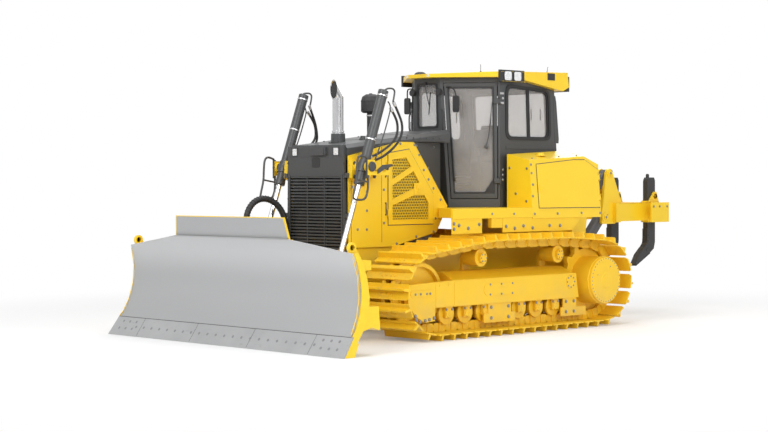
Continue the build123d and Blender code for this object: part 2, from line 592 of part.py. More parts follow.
with BuildPart() as brackets:
    # a plate bolted on the shield's front holds the trunnion either side of the cylinder
    side_plate([(1700.0, 1900.0), (1700.0, 2110.0), (2090.0, 2110.0), (2110.0, 1900.0), (2000.0, 1840.0)],
               (BAY_HALF + SEAT, BAY_HALF + 60))
    cross_bar(TRUNNION[0], TRUNNION[1], (BAY_HALF + 59, CYL_Y - TRUNNION_HALF - EYE_GAP), 62)
    block((1720.0, 1790.0), (BAY_HALF + 60, CYL_Y + 140), (1930.0, 1990.0))
    block((1720.0, 2075.0), (CYL_Y + 105, CYL_Y + 140), (1930.0, 1975.0))
    block((1960.0, 2075.0), (CYL_Y + 105, CYL_Y + 140), (1930.0, 2110.0))
    cross_bar(TRUNNION[0], TRUNNION[1], (CYL_Y + TRUNNION_HALF + EYE_GAP, CYL_Y + 106), 62)
save_both(brackets.part, "lift_brackets")

with BuildPart() as lift_tube:
    top = toward(TRUNNION, LIFT_EYE, -CYL_TOP_LENGTH)
    low = toward(TRUNNION, LIFT_EYE, CYL_LOW_LENGTH)
    bar((top[0], CYL_Y, top[1]), (low[0], CYL_Y, low[1]), CYL_R)
    cross_bar(TRUNNION[0], TRUNNION[1], (CYL_Y - TRUNNION_HALF, CYL_Y + TRUNNION_HALF), 60)
    bore_top = toward(TRUNNION, LIFT_EYE, -CYL_TOP_LENGTH + 60)
    bore_low = toward(TRUNNION, LIFT_EYE, CYL_LOW_LENGTH + 5)
    bar((bore_top[0], CYL_Y, bore_top[1]), (bore_low[0], CYL_Y, bore_low[1]), ROD_R + FIT, Mode.SUBTRACT)
save_sides(lift_tube.part, "lift_tube")

with BuildPart() as lift_rod:
    inner = toward(TRUNNION, LIFT_EYE, -160.0)
    neck = toward(LIFT_EYE, TRUNNION, 50.0)
    bar((inner[0], CYL_Y, inner[1]), (neck[0], CYL_Y, neck[1]), ROD_R)
    cross_bar(LIFT_EYE[0], LIFT_EYE[1], (CYL_Y - LIFT_EYE_HALF, CYL_Y + LIFT_EYE_HALF), 62)
save_sides(lift_rod.part, "lift_rod")

# ============================ push frame ========================================
ARM_IN = 560.0
ARM_OUT = 672.0
EAR_LEG = (836.0, 866.0)     # legs of the lift eyes' ears, outside the angle cylinders' sweep
with BuildPart() as push_frame:
    arm = [(LIFT_PIVOT[0] - 90, 470.0), (LIFT_PIVOT[0] + 60, 430.0), (2400.0, 300.0), (2560.0, 300.0),
           (2560.0, 520.0), (ANGLE_ANCHOR[0] - 75, 530.0), (LIFT_PIVOT[0] + 120, 640.0),
           (LIFT_PIVOT[0] - 90, 640.0)]
    for side in (-1, 1):
        ys = sorted((side * ARM_IN, side * ARM_OUT))
        side_plate(arm, ys)
        cross_bar(LIFT_PIVOT[0], LIFT_PIVOT[1], ys, 45, Mode.SUBTRACT)
    nose = [(2360.0, -EAR_LEG[1]), (2505.0, -EAR_LEG[1]), (2640.0, -200.0), (2790.0, -95.0),
            (2790.0, 95.0), (2640.0, 200.0), (2505.0, EAR_LEG[1]), (2360.0, EAR_LEG[1]), (2380.0, 400.0),
            (2400.0, 0.0), (2380.0, -400.0)]
    plan_plate(nose, (330.0, 530.0))
    bar((BALL_X, 0, 330.0), (BALL_X, 0, 530.0), 95)
    bar((BALL_X, 0, 300.0), (BALL_X, 0, 560.0), 45.05, Mode.SUBTRACT)
    # ears that hold the lift cylinders' eyes, and the angle cylinders' seats
    for side in (-1, 1):
        ear_y = CYL_Y + LIFT_EYE_HALF + EYE_GAP
        ys = sorted((side * ear_y, side * (ear_y + 30)))
        side_plate([(2380.0, 670.0), (2380.0, 800.0), (2420.0, 860.0), (2500.0, 860.0),
                    (2540.0, 800.0), (2510.0, 670.0)], ys)
        block((2380.0, 2505.0), sorted((side * ear_y, side * EAR_LEG[1])), (670.0, 702.0))
        block((2380.0, 2505.0), sorted((side * EAR_LEG[0], side * EAR_LEG[1])), (520.0, 702.0))
        block((ANGLE_ANCHOR[0] - 75, ANGLE_ANCHOR[0] + 75),
              sorted((side * (ANGLE_ANCHOR[1] - 45), side * (ANGLE_ANCHOR[1] + 45))), (490.0, 545.0))
        bar((ANGLE_ANCHOR[0], side * ANGLE_ANCHOR[1], 500.0),
            (ANGLE_ANCHOR[0], side * ANGLE_ANCHOR[1], ANGLE_Z + 45), 25)
save(push_frame.part, "push_frame")

# ============================ angle carrier =====================================
YOKE_FRONT_X = 2985.0
YOKE_REAR_X = 2905.0
with BuildPart() as carrier:
    block((YOKE_REAR_X, YOKE_FRONT_X), (-800.0, 800.0), (350.0, 555.0))
    for zs in ((280.0, 320.0), (540.0, 580.0)):
        plan_plate([(BALL_X - 60, -110), (BALL_X + 40, -120), (YOKE_FRONT_X, -220), (YOKE_FRONT_X, 220),
                    (BALL_X + 40, 120), (BALL_X - 60, 110)], zs)
    block((YOKE_REAR_X, YOKE_FRONT_X), (-220.0, 220.0), (280.0, 580.0))
    bar((BALL_X, 0, 280.0), (BALL_X, 0, 580.0), 45)
    bar((YOKE_REAR_X, 0, BALL_Z), (3110.0, 0, BALL_Z), 45)
    block((2915.0, 2948.0), (-350.0, -250.0), (540.0, 790.0))
    bar((2930.0, TILT_ANCHOR[0], TILT_ANCHOR[1]), (3035.0, TILT_ANCHOR[0], TILT_ANCHOR[1]), 25)
save(carrier.part, "blade_carrier")

# ============================ blade ==============================================
def skin_lines(gap):
    """The mouldboard's front arc moved back by a gap."""
    return ((EDGE_TOP[0] - gap, EDGE_TOP[1] + SEAT), (BLADE_MID[0] - gap, BLADE_MID[1]),
            (BLADE_TOP[0] - gap, BLADE_TOP[1]))


FACE_OUTLINE = [(-BLADE_HALF, 0.0), (BLADE_HALF, 0.0), (BLADE_TOP_HALF, BLADE_CORNER_Z),
                (BLADE_FLAT_HALF, BLADE_TOP_Z), (-BLADE_FLAT_HALF, BLADE_TOP_Z),
                (-BLADE_TOP_HALF, BLADE_CORNER_Z)]
END_PLATE = 25.0


def blade_half(z):
    """The blade's half width at a height, up to its corners."""
    return BLADE_HALF + (BLADE_TOP_HALF - BLADE_HALF) * z / BLADE_CORNER_Z


INNER_OUTLINE = [(y - math.copysign(END_PLATE + SEAT, y), z) if abs(y) > BLADE_FLAT_HALF else (y, z)
                 for y, z in FACE_OUTLINE]
with BuildPart() as mouldboard:
    with BuildSketch(Plane.XZ) as profile:
        with BuildLine():
            ThreePointArc(*skin_lines(0))
            Line(skin_lines(0)[2], skin_lines(BLADE_SKIN)[2])
            ThreePointArc(*skin_lines(BLADE_SKIN))
            Line(skin_lines(BLADE_SKIN)[0], skin_lines(0)[0])
        make_face()
    extrude(profile.sketch, amount=BLADE_HALF + 10, both=True)
    front_plate(INNER_OUTLINE, (2900.0, 3800.0), Mode.INTERSECT)
save(mouldboard.part, "mouldboard")

EDGE_SPLITS = (-BLADE_HALF, -1560.0, -520.0, 520.0, 1560.0, BLADE_HALF)
EDGE_THICK = 30.0
with BuildPart() as cutting_edge:
    for low, high in zip(EDGE_SPLITS, EDGE_SPLITS[1:]):
        side_plate([(BLADE_TIP_X, 0.5), (EDGE_TOP[0], EDGE_TOP[1]), (EDGE_TOP[0] - EDGE_THICK, EDGE_TOP[1]),
                    (BLADE_TIP_X - EDGE_THICK, 0.5)], (low + 1.0, high - 1.0))
    front_plate(FACE_OUTLINE, (2900.0, 3800.0), Mode.INTERSECT)
save(cutting_edge.part, "cutting_edge")

with BuildPart() as blade:
    # box beams and ribs behind the mouldboard, cut to its back
    beam = [(blade_half(260.0) - 12, 260.0), (blade_half(520.0) - 12, 520.0)]
    front_plate(beam + [(-y, z) for y, z in reversed(beam)], (3065.0, 3400.0))
    block((3065.0, 3400.0), (-BLADE_EYE_Y - 30, BLADE_EYE_Y + 30), (900.0, 1010.0))
    block((2995.0, 3070.0), (-220.0, 220.0), (290.0, 570.0))
    for y in (-1700.0, -1150.0, -560.0, 560.0, 1150.0, 1700.0):
        side_plate([(3065.0, 500.0), (3065.0, 1010.0), (3300.0, 1120.0), (3460.0, 1120.0), (3460.0, 500.0)],
                   (y - 15, y + 15))
    side_plate([(3362.0, 1080.0), (3345.0, GUARD_FOOT_Z), (3460.0, GUARD_FOOT_Z), (3460.0, 1080.0)],
               (-BLADE_FLAT_HALF, BLADE_FLAT_HALF))
    # end plates and lifting eyes
    for side in (-1, 1):
        eye_ys = (side * BLADE_EYE_Y - BLADE_EYE_HALF, side * BLADE_EYE_Y + BLADE_EYE_HALF)
        side_plate([(3180.0, 990.0), (3275.0, BLADE_EYE[1]), (3385.0, BLADE_EYE[1]), (3345.0, 990.0)], eye_ys)
        cross_bar(*BLADE_EYE, eye_ys, 55)
        cross_bar(*BLADE_EYE, (eye_ys[0] - 1, eye_ys[1] + 1), BLADE_EYE_R, Mode.SUBTRACT)
        strip = [(side * (BLADE_HALF - END_PLATE), 0.5), (side * BLADE_HALF, 0.5),
                 (side * BLADE_TOP_HALF, BLADE_CORNER_Z), (side * (BLADE_TOP_HALF - END_PLATE), BLADE_CORNER_Z)]
        with BuildPart(mode=Mode.PRIVATE) as end_plate:
            front_plate(strip, (3180.0, 3700.0))
            side_plate([(3700.0, -10.0), (3480.0, -10.0), (3361.0, 216.0), (3240.0, 400.0), (3198.0, 620.0),
                        (3215.0, 820.0), (3265.0, 1000.0), (3320.0, 1100.0), (3700.0, 1100.0)],
                       (-BLADE_HALF - 5, BLADE_HALF + 5), Mode.INTERSECT)
        add(end_plate.part)
    with BuildSketch(Plane.XZ) as ahead:
        with BuildLine():
            arc = skin_lines(BLADE_SKIN + SEAT)
            ThreePointArc(*arc)
            Polyline(arc[2], (3900.0, 1400.0), (3900.0, -50.0), (EDGE_TOP[0] - EDGE_THICK + 145.0, -0.5),
                     (EDGE_TOP[0] - EDGE_THICK - 3, EDGE_TOP[1]), arc[0])
        make_face()
    with BuildPart(mode=Mode.PRIVATE) as front_space:
        extrude(ahead.sketch, amount=BLADE_HALF - END_PLATE - 0.1, both=True)
    add(front_space.part, mode=Mode.SUBTRACT)
    with BuildPart(mode=Mode.PRIVATE) as end_space:
        side_plate([(3900.0, 1400.0), (3900.0, -50.0), (BLADE_TIP_X - EDGE_THICK - 1, -0.5),
                    (EDGE_TOP[0] - EDGE_THICK - 1, EDGE_TOP[1] + 0.2), (EDGE_TOP[0] + 1, EDGE_TOP[1] + SEAT),
                    (3400.0, 350.0), (3350.0, 480.0), (3335.0, 620.0), (3345.0, 780.0), (3380.0, 950.0),
                    (3450.0, 1120.0)], (-BLADE_HALF - 5, BLADE_HALF + 5))
    add(end_space.part, mode=Mode.SUBTRACT)
    side_plate([(3000.0, -50.0), (3180.0, -50.0), (3420.0, 150.0), (3330.0, 260.0), (3180.0, 300.0),
                (3060.0, 259.0), (3000.0, 200.0)], (-BLADE_HALF - 5, BLADE_HALF + 5), Mode.SUBTRACT)
    bar((2990.0, 0, BALL_Z), (3120.0, 0, BALL_Z), 45.05, Mode.SUBTRACT)
    # lug for the tilt cylinder
    block((3040.0, 3070.0), (TILT_EYE[0] - 60, TILT_EYE[0] + 60), (TILT_EYE[1] - 60, TILT_EYE[1] + 80))
    bar((3034.0, TILT_EYE[0], TILT_EYE[1]), (3045.0, TILT_EYE[0], TILT_EYE[1]), 40)
save(blade.part, "blade")

with BuildPart() as spill_guard:
    side_plate([(3414.0, GUARD_FOOT_Z + SEAT), (3432.0, GUARD_FOOT_Z + SEAT), (3470.0, GUARD_TOP_Z),
                (3452.0, GUARD_TOP_Z)], (-GUARD_HALF, GUARD_HALF))
    front_plate([(-GUARD_HALF, GUARD_FOOT_Z), (GUARD_HALF, GUARD_FOOT_Z), (GUARD_HALF - 50, GUARD_TOP_Z + 1),
                 (50 - GUARD_HALF, GUARD_TOP_Z + 1)], (3300.0, 3600.0), Mode.INTERSECT)
save(spill_guard.part, "spill_guard")

# ---- angle and tilt cylinders
with BuildPart() as angle_tube:
    start = (ANGLE_ANCHOR[0], ANGLE_ANCHOR[1], ANGLE_Z)
    way = Vector(ANGLE_EYE[0] - ANGLE_ANCHOR[0], ANGLE_EYE[1] - ANGLE_ANCHOR[1], 0).normalized()
    bar(tuple(Vector(*start) + way * 30), tuple(Vector(*start) + way * 850), ANGLE_TUBE_R)
    bar((start[0], start[1], ANGLE_Z - 35), (start[0], start[1], ANGLE_Z + 35), 50)
    bar(tuple(Vector(*start) + way * 110), tuple(Vector(*start) + way * 860), 28.05, Mode.SUBTRACT)
    bar((start[0], start[1], ANGLE_Z - 40), (start[0], start[1], ANGLE_Z + 40), 25.05, Mode.SUBTRACT)
save_sides(angle_tube.part, "angle_tube")
with BuildPart() as angle_rod:
    eye = Vector(ANGLE_EYE[0], ANGLE_EYE[1], ANGLE_Z)
    bar(tuple(eye - way * 790), tuple(eye - way * 30), 28)
    bar((eye.X, eye.Y, ANGLE_Z - 35), (eye.X, eye.Y, ANGLE_Z + 35), 52)
save_sides(angle_rod.part, "angle_rod")

TILT_X = 3000.0
with BuildPart() as tilt_tube:
    start = Vector(TILT_X, *TILT_ANCHOR)
    eye = Vector(TILT_X, *TILT_EYE)
    way = (eye - start).normalized()
    bar(tuple(start + way * 30), tuple(start + way * 560), 44)
    bar((TILT_X - 25, start.Y, start.Z), (TILT_X + 25, start.Y, start.Z), 50)
    bar(tuple(start + way * 80), tuple(start + way * 570), 26.05, Mode.SUBTRACT)
    bar((TILT_X - 30, start.Y, start.Z), (TILT_X + 30, start.Y, start.Z), 25.05, Mode.SUBTRACT)
save(tilt_tube.part, "tilt_tube")
with BuildPart() as tilt_rod:
    bar(tuple(eye - way * 600), tuple(eye - way * 30), 26)
    bar((TILT_X - 25, eye.Y, eye.Z), (TILT_X + 25, eye.Y, eye.Z), 46)
save(tilt_rod.part, "tilt_rod")

# ============================ platform and tanks ==================================
with BuildPart() as platform:
    block((TANK_REAR_X, SHIELD_REAR_LOW[0] - SEAT), (-DECK_HALF, DECK_HALF), (DECK_LOW_Z, DECK_Z))
    fender = [(TANK_FRONT_X + SEAT, BAY_HALF + SEAT), (TANK_FRONT_X + SEAT, FENDER_Y),
              (FENDER_FRONT_X, FENDER_Y), *FENDER_FRONT, (600.0, BAY_HALF + SEAT)]
    for side in (-1, 1):
        plan_plate([(x, side * y) for x, y in fender], (DECK_LOW_Z, DECK_Z))
        # the brackets that hang below the step rail
        ys = sorted((side * (FENDER_Y - FENDER_RAIL), side * (FENDER_Y - 15)))
        block((598.0, FENDER_FRONT_X - 5), ys, (BRACKET_LOW_Z, DECK_LOW_Z))
        block((230.0, 430.0), sorted((side * (FENDER_Y - 75), side * (FENDER_Y - 15))), (1290.0, DECK_LOW_Z))
        side_plate([(226.0, DECK_LOW_Z), (226.0, BRACKET_LOW_Z), (-1087.0, BRACKET_LOW_Z), (-1231.0, 1372.0),
                    (-1231.0, TANK_LOW_Z - SEAT), (TANK_FRONT_X + SEAT, TANK_LOW_Z - SEAT),
                    (TANK_FRONT_X + SEAT, DECK_LOW_Z)], ys)
save(platform.part, "platform")

HATCH = ((-432.0, 2061.0), (-1167.0, 2122.0), (-1366.0, 2123.0), (-1620.0, 2000.0), (-1620.0, 1518.0),
         (-440.0, 1524.0))
HATCH_HINGE_X = -1628.0
HATCH_HINGE_OUT = 11.5      # from the tank's outer face to the hinge's axis
HATCH_HINGE_Z = (1640.0, 1900.0)
HATCH_PIN_R = 4.0
HATCH_LUG_GAP = 3.0         # between a lug and its barrel, because the hatch turns about a leaning axis
TANK_EDGE = ((TANK_FRONT_X, 2116.0), (TANK_BREAK_X, 2170.0), (TANK_REAR_X, TANK_REAR_TOP_Z))    # outer top edge
TANK_FALL = 0.22            # the top's slope outwards
lean = (TANK_LOW_Y - TANK_HIGH_Y) / (TANK_HIGH_Z - TANK_LOW_Z)


def tank_y(z, out=0.0):
    """The tank's outer face at a height."""
    return TANK_LOW_Y - (z - TANK_LOW_Z) * lean + out


with BuildPart() as tank:
    sections = []
    for x, top in TANK_EDGE:
        with BuildSketch(Plane.YZ.offset(x)) as section:
            Polygon((860.0, TANK_LOW_Z), (TANK_LOW_Y, TANK_LOW_Z), (tank_y(top), top),
                    (888.0, top + (tank_y(top) - 888.0) * TANK_FALL),
                    (860.0, top + (tank_y(top) - 888.0) * TANK_FALL), align=None)
        sections.append(section.sketch.face())
    loft(sections, ruled=True)
    block((-1560.0, -470.0), (960.0, 1400.0), (1565.0, 1980.0), Mode.SUBTRACT)
    for z in HATCH_HINGE_Z:
        ends = (z - BARREL_HALF - LUG, z + BARREL_HALF + LUG)
        bar(*[(HATCH_HINGE_X, tank_y(end, HATCH_HINGE_OUT), end) for end in ends], HATCH_PIN_R)
        for low in (ends[0], z + BARREL_HALF + HATCH_LUG_GAP):
            block((HATCH_HINGE_X - 9, HATCH_HINGE_X + 7),
                  (tank_y(low) - 5, tank_y(low, HATCH_HINGE_OUT + 8)), (low, low + LUG - HATCH_LUG_GAP))
save_both(tank.part, "tanks")
with BuildPart() as hatch:
    front_plate([(tank_y(1500.0, 0.6), 1500.0), (tank_y(1500.0, 14.0), 1500.0),
                 (tank_y(2150.0, 14.0), 2150.0), (tank_y(2150.0, 0.6), 2150.0)], (-1630.0, -400.0))
    side_plate(HATCH, (1100.0, 1400.0), Mode.INTERSECT)
    for z in HATCH_HINGE_Z:
        for half, radius, mode in ((BARREL_HALF, 10.0, Mode.ADD),
                                   (BARREL_HALF + 1, HATCH_PIN_R + FIT, Mode.SUBTRACT)):
            bar(*[(HATCH_HINGE_X, tank_y(end, HATCH_HINGE_OUT), end) for end in (z - half, z + half)],
                radius, mode)
        for notch in ((z - BARREL_HALF - LUG - 5, z - BARREL_HALF - 0.5),
                      (z + BARREL_HALF + 0.5, z + BARREL_HALF + LUG + 5)):
            block((HATCH_HINGE_X - 12, HATCH_HINGE_X + 20), (1200.0, 1350.0), notch, Mode.SUBTRACT)
save_sides(hatch.part, "hatch")

with BuildPart() as rear_deck:
    block((TANK_REAR_X, CAB_REAR_LOW_X - 5), (-859.7, 859.7), (DECK_Z + SEAT, REAR_TANK_TOP_Z))
save(rear_deck.part, "rear_tank")

# ============================ cab ==================================================
CAB_PLANS = (               # height, front x, front half, side x, side y, rear x
    (DECK_Z + SEAT, 195.0, 330.0, *CAB_CORNER, CAB_REAR_LOW_X),
    (CAB_TOP_Z, 241.0, 220.0, *CAB_CORNER, CAB_REAR_TOP_X),
)


def cab_plan(row, inset):
    """The cab's outline seen from above at one height."""
    z, front_x, front_half, side_x, side_y, rear_x = row
    front_x, side_x = front_x - inset, side_x - inset * 0.35
    front_half, side_y, rear_x = front_half - inset * 0.65, side_y - inset, rear_x + inset
    with BuildSketch(Plane.XY.offset(z)) as outline:
        Polygon((front_x, -front_half), (front_x, front_half), (side_x, side_y), (rear_x, side_y),
                (rear_x, -side_y), (side_x, -side_y), align=None)
    return outline.sketch.face()


def door_quad(z, first, last, out, depth):
    """A strip of the door's wall at one height, between two shares of its width."""
    share = (z - CAB_PLANS[0][0]) / (CAB_PLANS[1][0] - CAB_PLANS[0][0])
    low, high = CAB_PLANS
    a = Vector(low[1] + (high[1] - low[1]) * share, low[2] + (high[2] - low[2]) * share)
    b = Vector(low[3], low[4])
    along = b - a
    normal = Vector(along.Y, -along.X).normalized()
    corners = [a + along * first + normal * out, a + along * last + normal * out,
               a + along * last + normal * (out - depth), a + along * first + normal * (out - depth)]
    with BuildSketch(Plane.XY.offset(z)) as quad:
        Polygon(*[(c.X, c.Y) for c in corners], align=None)
    return quad.sketch.face()


def door_slab(zs, shares, out, depth):
    """A slab in the door's wall, for the leaf, its opening or its glass."""
    with BuildPart() as slab:
        loft([door_quad(z, shares[0], shares[1], out, depth) for z in zs], ruled=True)
    return slab.part


DOOR_Z = (1640.0, 3090.0)
DOOR_SHARES = (0.07, 0.955)
DOOR_FRAME = 0.055          # the leaf's frame beside its glass, as a share of the wall
SIDE_WINDOW = [(-403.0, 2400.0), (-1215.0, 2400.0), (-1190.0, 3010.0), (-403.0, 3060.0)]
CAB_HINGE = (CAB_CORNER[0] + 15, CAB_CORNER[1] + 15)           # the cab door's hinge line, x and y
CAB_HINGE_Z = (1860.0, 2860.0)
CAB_PIN_R = 8.0
with BuildPart() as cab:
    loft([cab_plan(row, 0) for row in CAB_PLANS], ruled=True)
    with BuildPart(mode=Mode.PRIVATE) as room:
        loft([cab_plan((z,) + row[1:], WALL) for z, row in zip((DECK_Z + 40, 3120.0), CAB_PLANS)],
             ruled=True)
    add(room.part, mode=Mode.SUBTRACT)
    opening = door_slab((DOOR_Z[0] - 8, DOOR_Z[1] + 8), (DOOR_SHARES[0] - 0.014, DOOR_SHARES[1] + 0.014),
                        60, 200)
    add(opening, mode=Mode.SUBTRACT)
    add(mirror(opening, about=Plane.XZ), mode=Mode.SUBTRACT)
    block((100.0, 400.0), (-175.0, 175.0), (2540.0, 3090.0), Mode.SUBTRACT)
    side_plate(SIDE_WINDOW, (-900.0, 900.0), Mode.SUBTRACT)
    block((-1500.0, -900.0), (-640.0, 640.0), (2300.0, 3020.0), Mode.SUBTRACT)
    for side in (-1, 1):
        hinge_lugs(CAB_HINGE[0], side * CAB_HINGE[1], CAB_HINGE_Z, CAB_PIN_R,
                   (CAB_CORNER[0] - 13, CAB_HINGE[0] + 10),
                   sorted((side * (CAB_CORNER[1] - 16), side * (CAB_HINGE[1] + 12))))
save(cab.part, "cab")

with BuildPart() as glass:
    front_plate([(-174.5, 2540.5), (174.5, 2540.5), (174.5, 3089.5), (-174.5, 3089.5)], (206.0, 212.0))
    for side in (-1, 1):
        with BuildSketch(Plane.XZ.offset(side * (CAB_CORNER[1] - WALL / 2))) as pane:
            Polygon(*SIDE_WINDOW, align=None)
            offset(amount=-0.5, kind=Kind.INTERSECTION)
        extrude(pane.sketch, amount=3.0, both=True)
    side_plate([(-1345.0, 2300.5), (-1339.0, 2300.5), (-1297.6, 3019.5), (-1303.6, 3019.5)], (-639.5, 639.5))
save(glass.part, "cab_glass")

with BuildPart() as door:
    add(door_slab(DOOR_Z, DOOR_SHARES, 0, 40))
    add(door_slab((DOOR_Z[0] + 60, DOOR_Z[1] - 45), (DOOR_SHARES[0] + DOOR_FRAME, DOOR_SHARES[1] - DOOR_FRAME),
                  20, 120), mode=Mode.SUBTRACT)
    for z in CAB_HINGE_Z:
        heights = (z - BARREL_HALF, z + BARREL_HALF)
        add(door_slab(heights, (DOOR_SHARES[1] - 0.06, DOOR_SHARES[1] - 0.01), 28, 40))
        add(door_slab(heights, (DOOR_SHARES[1] - 0.06, 0.995), 28, 14))
    hinge_barrels(*CAB_HINGE, CAB_HINGE_Z, CAB_PIN_R, 5)
save_sides(door.part, "cab_door")
save_sides(door_slab((DOOR_Z[0] + 60.5, DOOR_Z[1] - 45.5),
                     (DOOR_SHARES[0] + DOOR_FRAME + 0.001, DOOR_SHARES[1] - DOOR_FRAME - 0.001), -14, 6),
           "door_glass")

ROOF_HALF = 880.0
ROOF_TAIL = ((-1379.0, 3018.0), (-1499.0, 3074.0), (-1485.0, 3161.0))
with BuildPart() as roof:
    plan_plate([(409.0, -190.0), (409.0, 190.0), (-200.0, ROOF_HALF), (-1500.0, ROOF_HALF),
                (-1500.0, -ROOF_HALF), (-200.0, -ROOF_HALF)], (3100.0, 3280.0))
    side_plate([(420.0, CAB_TOP_Z + SEAT), (420.0, 3205.0), (-55.0, 3225.0), (-1470.0, 3262.0),
                (-1485.0, CAB_TOP_Z + SEAT)], (-ROOF_HALF - 20, ROOF_HALF + 20), Mode.INTERSECT)
    # its sides and back hang lower towards the rear
    for side in (-1, 1):
        side_plate([(-600.0, 3161.0), (-600.0, 3139.0), *ROOF_TAIL],
                   sorted((side * (CAB_CORNER[1] + SEAT), side * ROOF_HALF)))
    side_plate([(CAB_REAR_TOP_X - SEAT, 3161.0), (CAB_REAR_TOP_X - 10, 3030.0), *ROOF_TAIL],
               (-ROOF_HALF, ROOF_HALF))
save(roof.part, "cab_roof")

with BuildPart() as seat:
    block((-780.0, -380.0), (-200.0, 200.0), (DECK_Z + 40.3, 1800.0))
    block((-830.0, -330.0), (-260.0, 260.0), (1800.0, 1930.0))
    side_plate([(-700.0, 1930.0), (-830.0, 1930.0), (-960.0, 2550.0), (-860.0, 2560.0)], (-250.0, 250.0))
save(seat.part, "seat")
with BuildPart() as console:
    for side in (-1, 1):
        ys = sorted((side * 300.0, side * 460.0))
        block((-850.0, -250.0), ys, (DECK_Z + 40.3, 2100.0))
    side_plate([(-20.0, DECK_Z + 40.3), (130.0, DECK_Z + 40.3), (130.0, 2350.0), (60.0, 2400.0),
                (-20.0, 2200.0)], (-230.0, 230.0))
save(console.part, "console")

# ============================ ripper ================================================


def link_plate(start, end, half, ys):
    """A flat link with round ends."""
    way = Vector(end[0] - start[0], end[1] - start[1]).normalized()
    across = Vector(-way.Y, way.X) * half
    a, b = Vector(*start), Vector(*end)
    side_plate([(p.X, p.Y) for p in (a + across, b + across, b - across, a - across)], ys)
    for x, z in (start, end):
        cross_bar(x, z, ys, half)


with BuildPart() as lower_links:
    link_plate(RIP_ROOT, RIP_LOWER, 68, LINK_Y)
    for x, z in (RIP_ROOT, RIP_LOWER):
        cross_bar(x, z, (LINK_Y[0] - 1, LINK_Y[1] + 1), RIP_PIN_R + FIT, Mode.SUBTRACT)
save_both(lower_links.part, "ripper_lower_links")
with BuildPart() as upper_links:
    link_plate(RIP_ROOT_UPPER, RIP_UPPER, 50, LINK_Y)
    for x, z in (RIP_ROOT_UPPER, RIP_UPPER):
        cross_bar(x, z, (LINK_Y[0] - 1, LINK_Y[1] + 1), RIP_PIN_R + FIT, Mode.SUBTRACT)
save_both(upper_links.part, "ripper_upper_links")

with BuildPart() as ripper:
    cheek = [(-2460.0, 1290.0), (-2470.0, 1430.0), (-2560.0, 1960.0), (-2590.0, 2010.0), (-2650.0, 2020.0),
             (-2690.0, 1980.0), (-2890.0, BEAM_TOP_Z), (BEAM_FRONT_X - 20, BEAM_TOP_Z),
             (BEAM_FRONT_X - 20, BEAM_LOW_Z), (-2800.0, BEAM_LOW_Z), (-2740.0, 1270.0), (-2480.0, 1270.0)]
    inner_cheek = cheek[:6] + [(-2890.0, BEAM_TOP_Z), (-2890.0, 1270.0), (-2480.0, 1270.0)]
    for side in (-1, 1):
        side_plate(cheek, sorted((side * RIP_ARM[0], side * 641.0)))
        side_plate(inner_cheek, sorted((side * 460.0, side * 499.0)))
        block((BEAM_FRONT_X - 10, -2760.0), sorted((side * 460.0, side * RIP_ARM[1])),
              (BEAM_LOW_Z, BEAM_TOP_Z))
        cross_bar(*RIP_LOWER, sorted((side * 460.0, side * 641.0)), RIP_PIN_R)
        block((-2800.0, -2700.0), sorted((side * 340.0, side * 700.0)), (1290.0, BEAM_TOP_Z))
        side_plate([(-2560.0, 1960.0), (-2590.0, 2010.0), (-2650.0, 2020.0), (-2690.0, 1980.0),
                    (-2800.0, 1500.0), (-2700.0, 1400.0)], sorted((side * 336.0, side * 361.0)))
        cross_bar(*RIP_UPPER, sorted((side * 440.0, side * 641.0)), RIP_PIN_R)
        cross_bar(*RIP_UPPER, sorted((side * 440.0, side * 461.0)), 55)
    block((BEAM_REAR_X, BEAM_FRONT_X), (-BEAM_HALF, BEAM_HALF), (BEAM_LOW_Z, BEAM_TOP_Z))
    for side in (-1, 1):
        block((BEAM_REAR_X, BEAM_CAP_X), sorted((side * BEAM_HALF, side * (BEAM_HALF + 25))),
              (BEAM_LOW_Z - 20, BEAM_TOP_Z))
    for y in SHANK_Y:
        block((SHANK_REAR_X - 20, SHANK_FRONT_X + 20), (y - 60, y + 60), (BEAM_LOW_Z - 25, BEAM_TOP_Z + 20))
        for ear_y in (y - 60, y + 42):
            side_plate([(BEAM_FRONT_X + 60, BEAM_TOP_Z), (-3530.0, 1700.0), (-3590.0, 1700.0),
                        (BEAM_REAR_X, BEAM_TOP_Z)], (ear_y, ear_y + 18))
        block((SHANK_REAR_X - SEAT, SHANK_FRONT_X + SEAT), (y - 40.3, y + 40.3), (1200.0, 1800.0),
              Mode.SUBTRACT)
save(ripper.part, "ripper_frame")

with BuildPart() as shanks:
    outline = [(SHANK_FRONT_X, 1850.0), (-3430.0, 1890.0), (-3440.0, 1900.0), (-3560.0, 1900.0),
               (SHANK_REAR_X, 1860.0), (SHANK_REAR_X, 1000.0), (-3555.0, 910.0), (-3480.0, 860.0),
               (-3160.0, 690.0), (-3150.0, 720.0), (-3230.0, 830.0), (-3300.0, 890.0), (-3400.0, 1000.0),
               (SHANK_FRONT_X, 1080.0)]
    for y in SHANK_Y:
        side_plate(outline, (y - SHANK_THICK / 2, y + SHANK_THICK / 2))
save(shanks.part, "ripper_shanks")

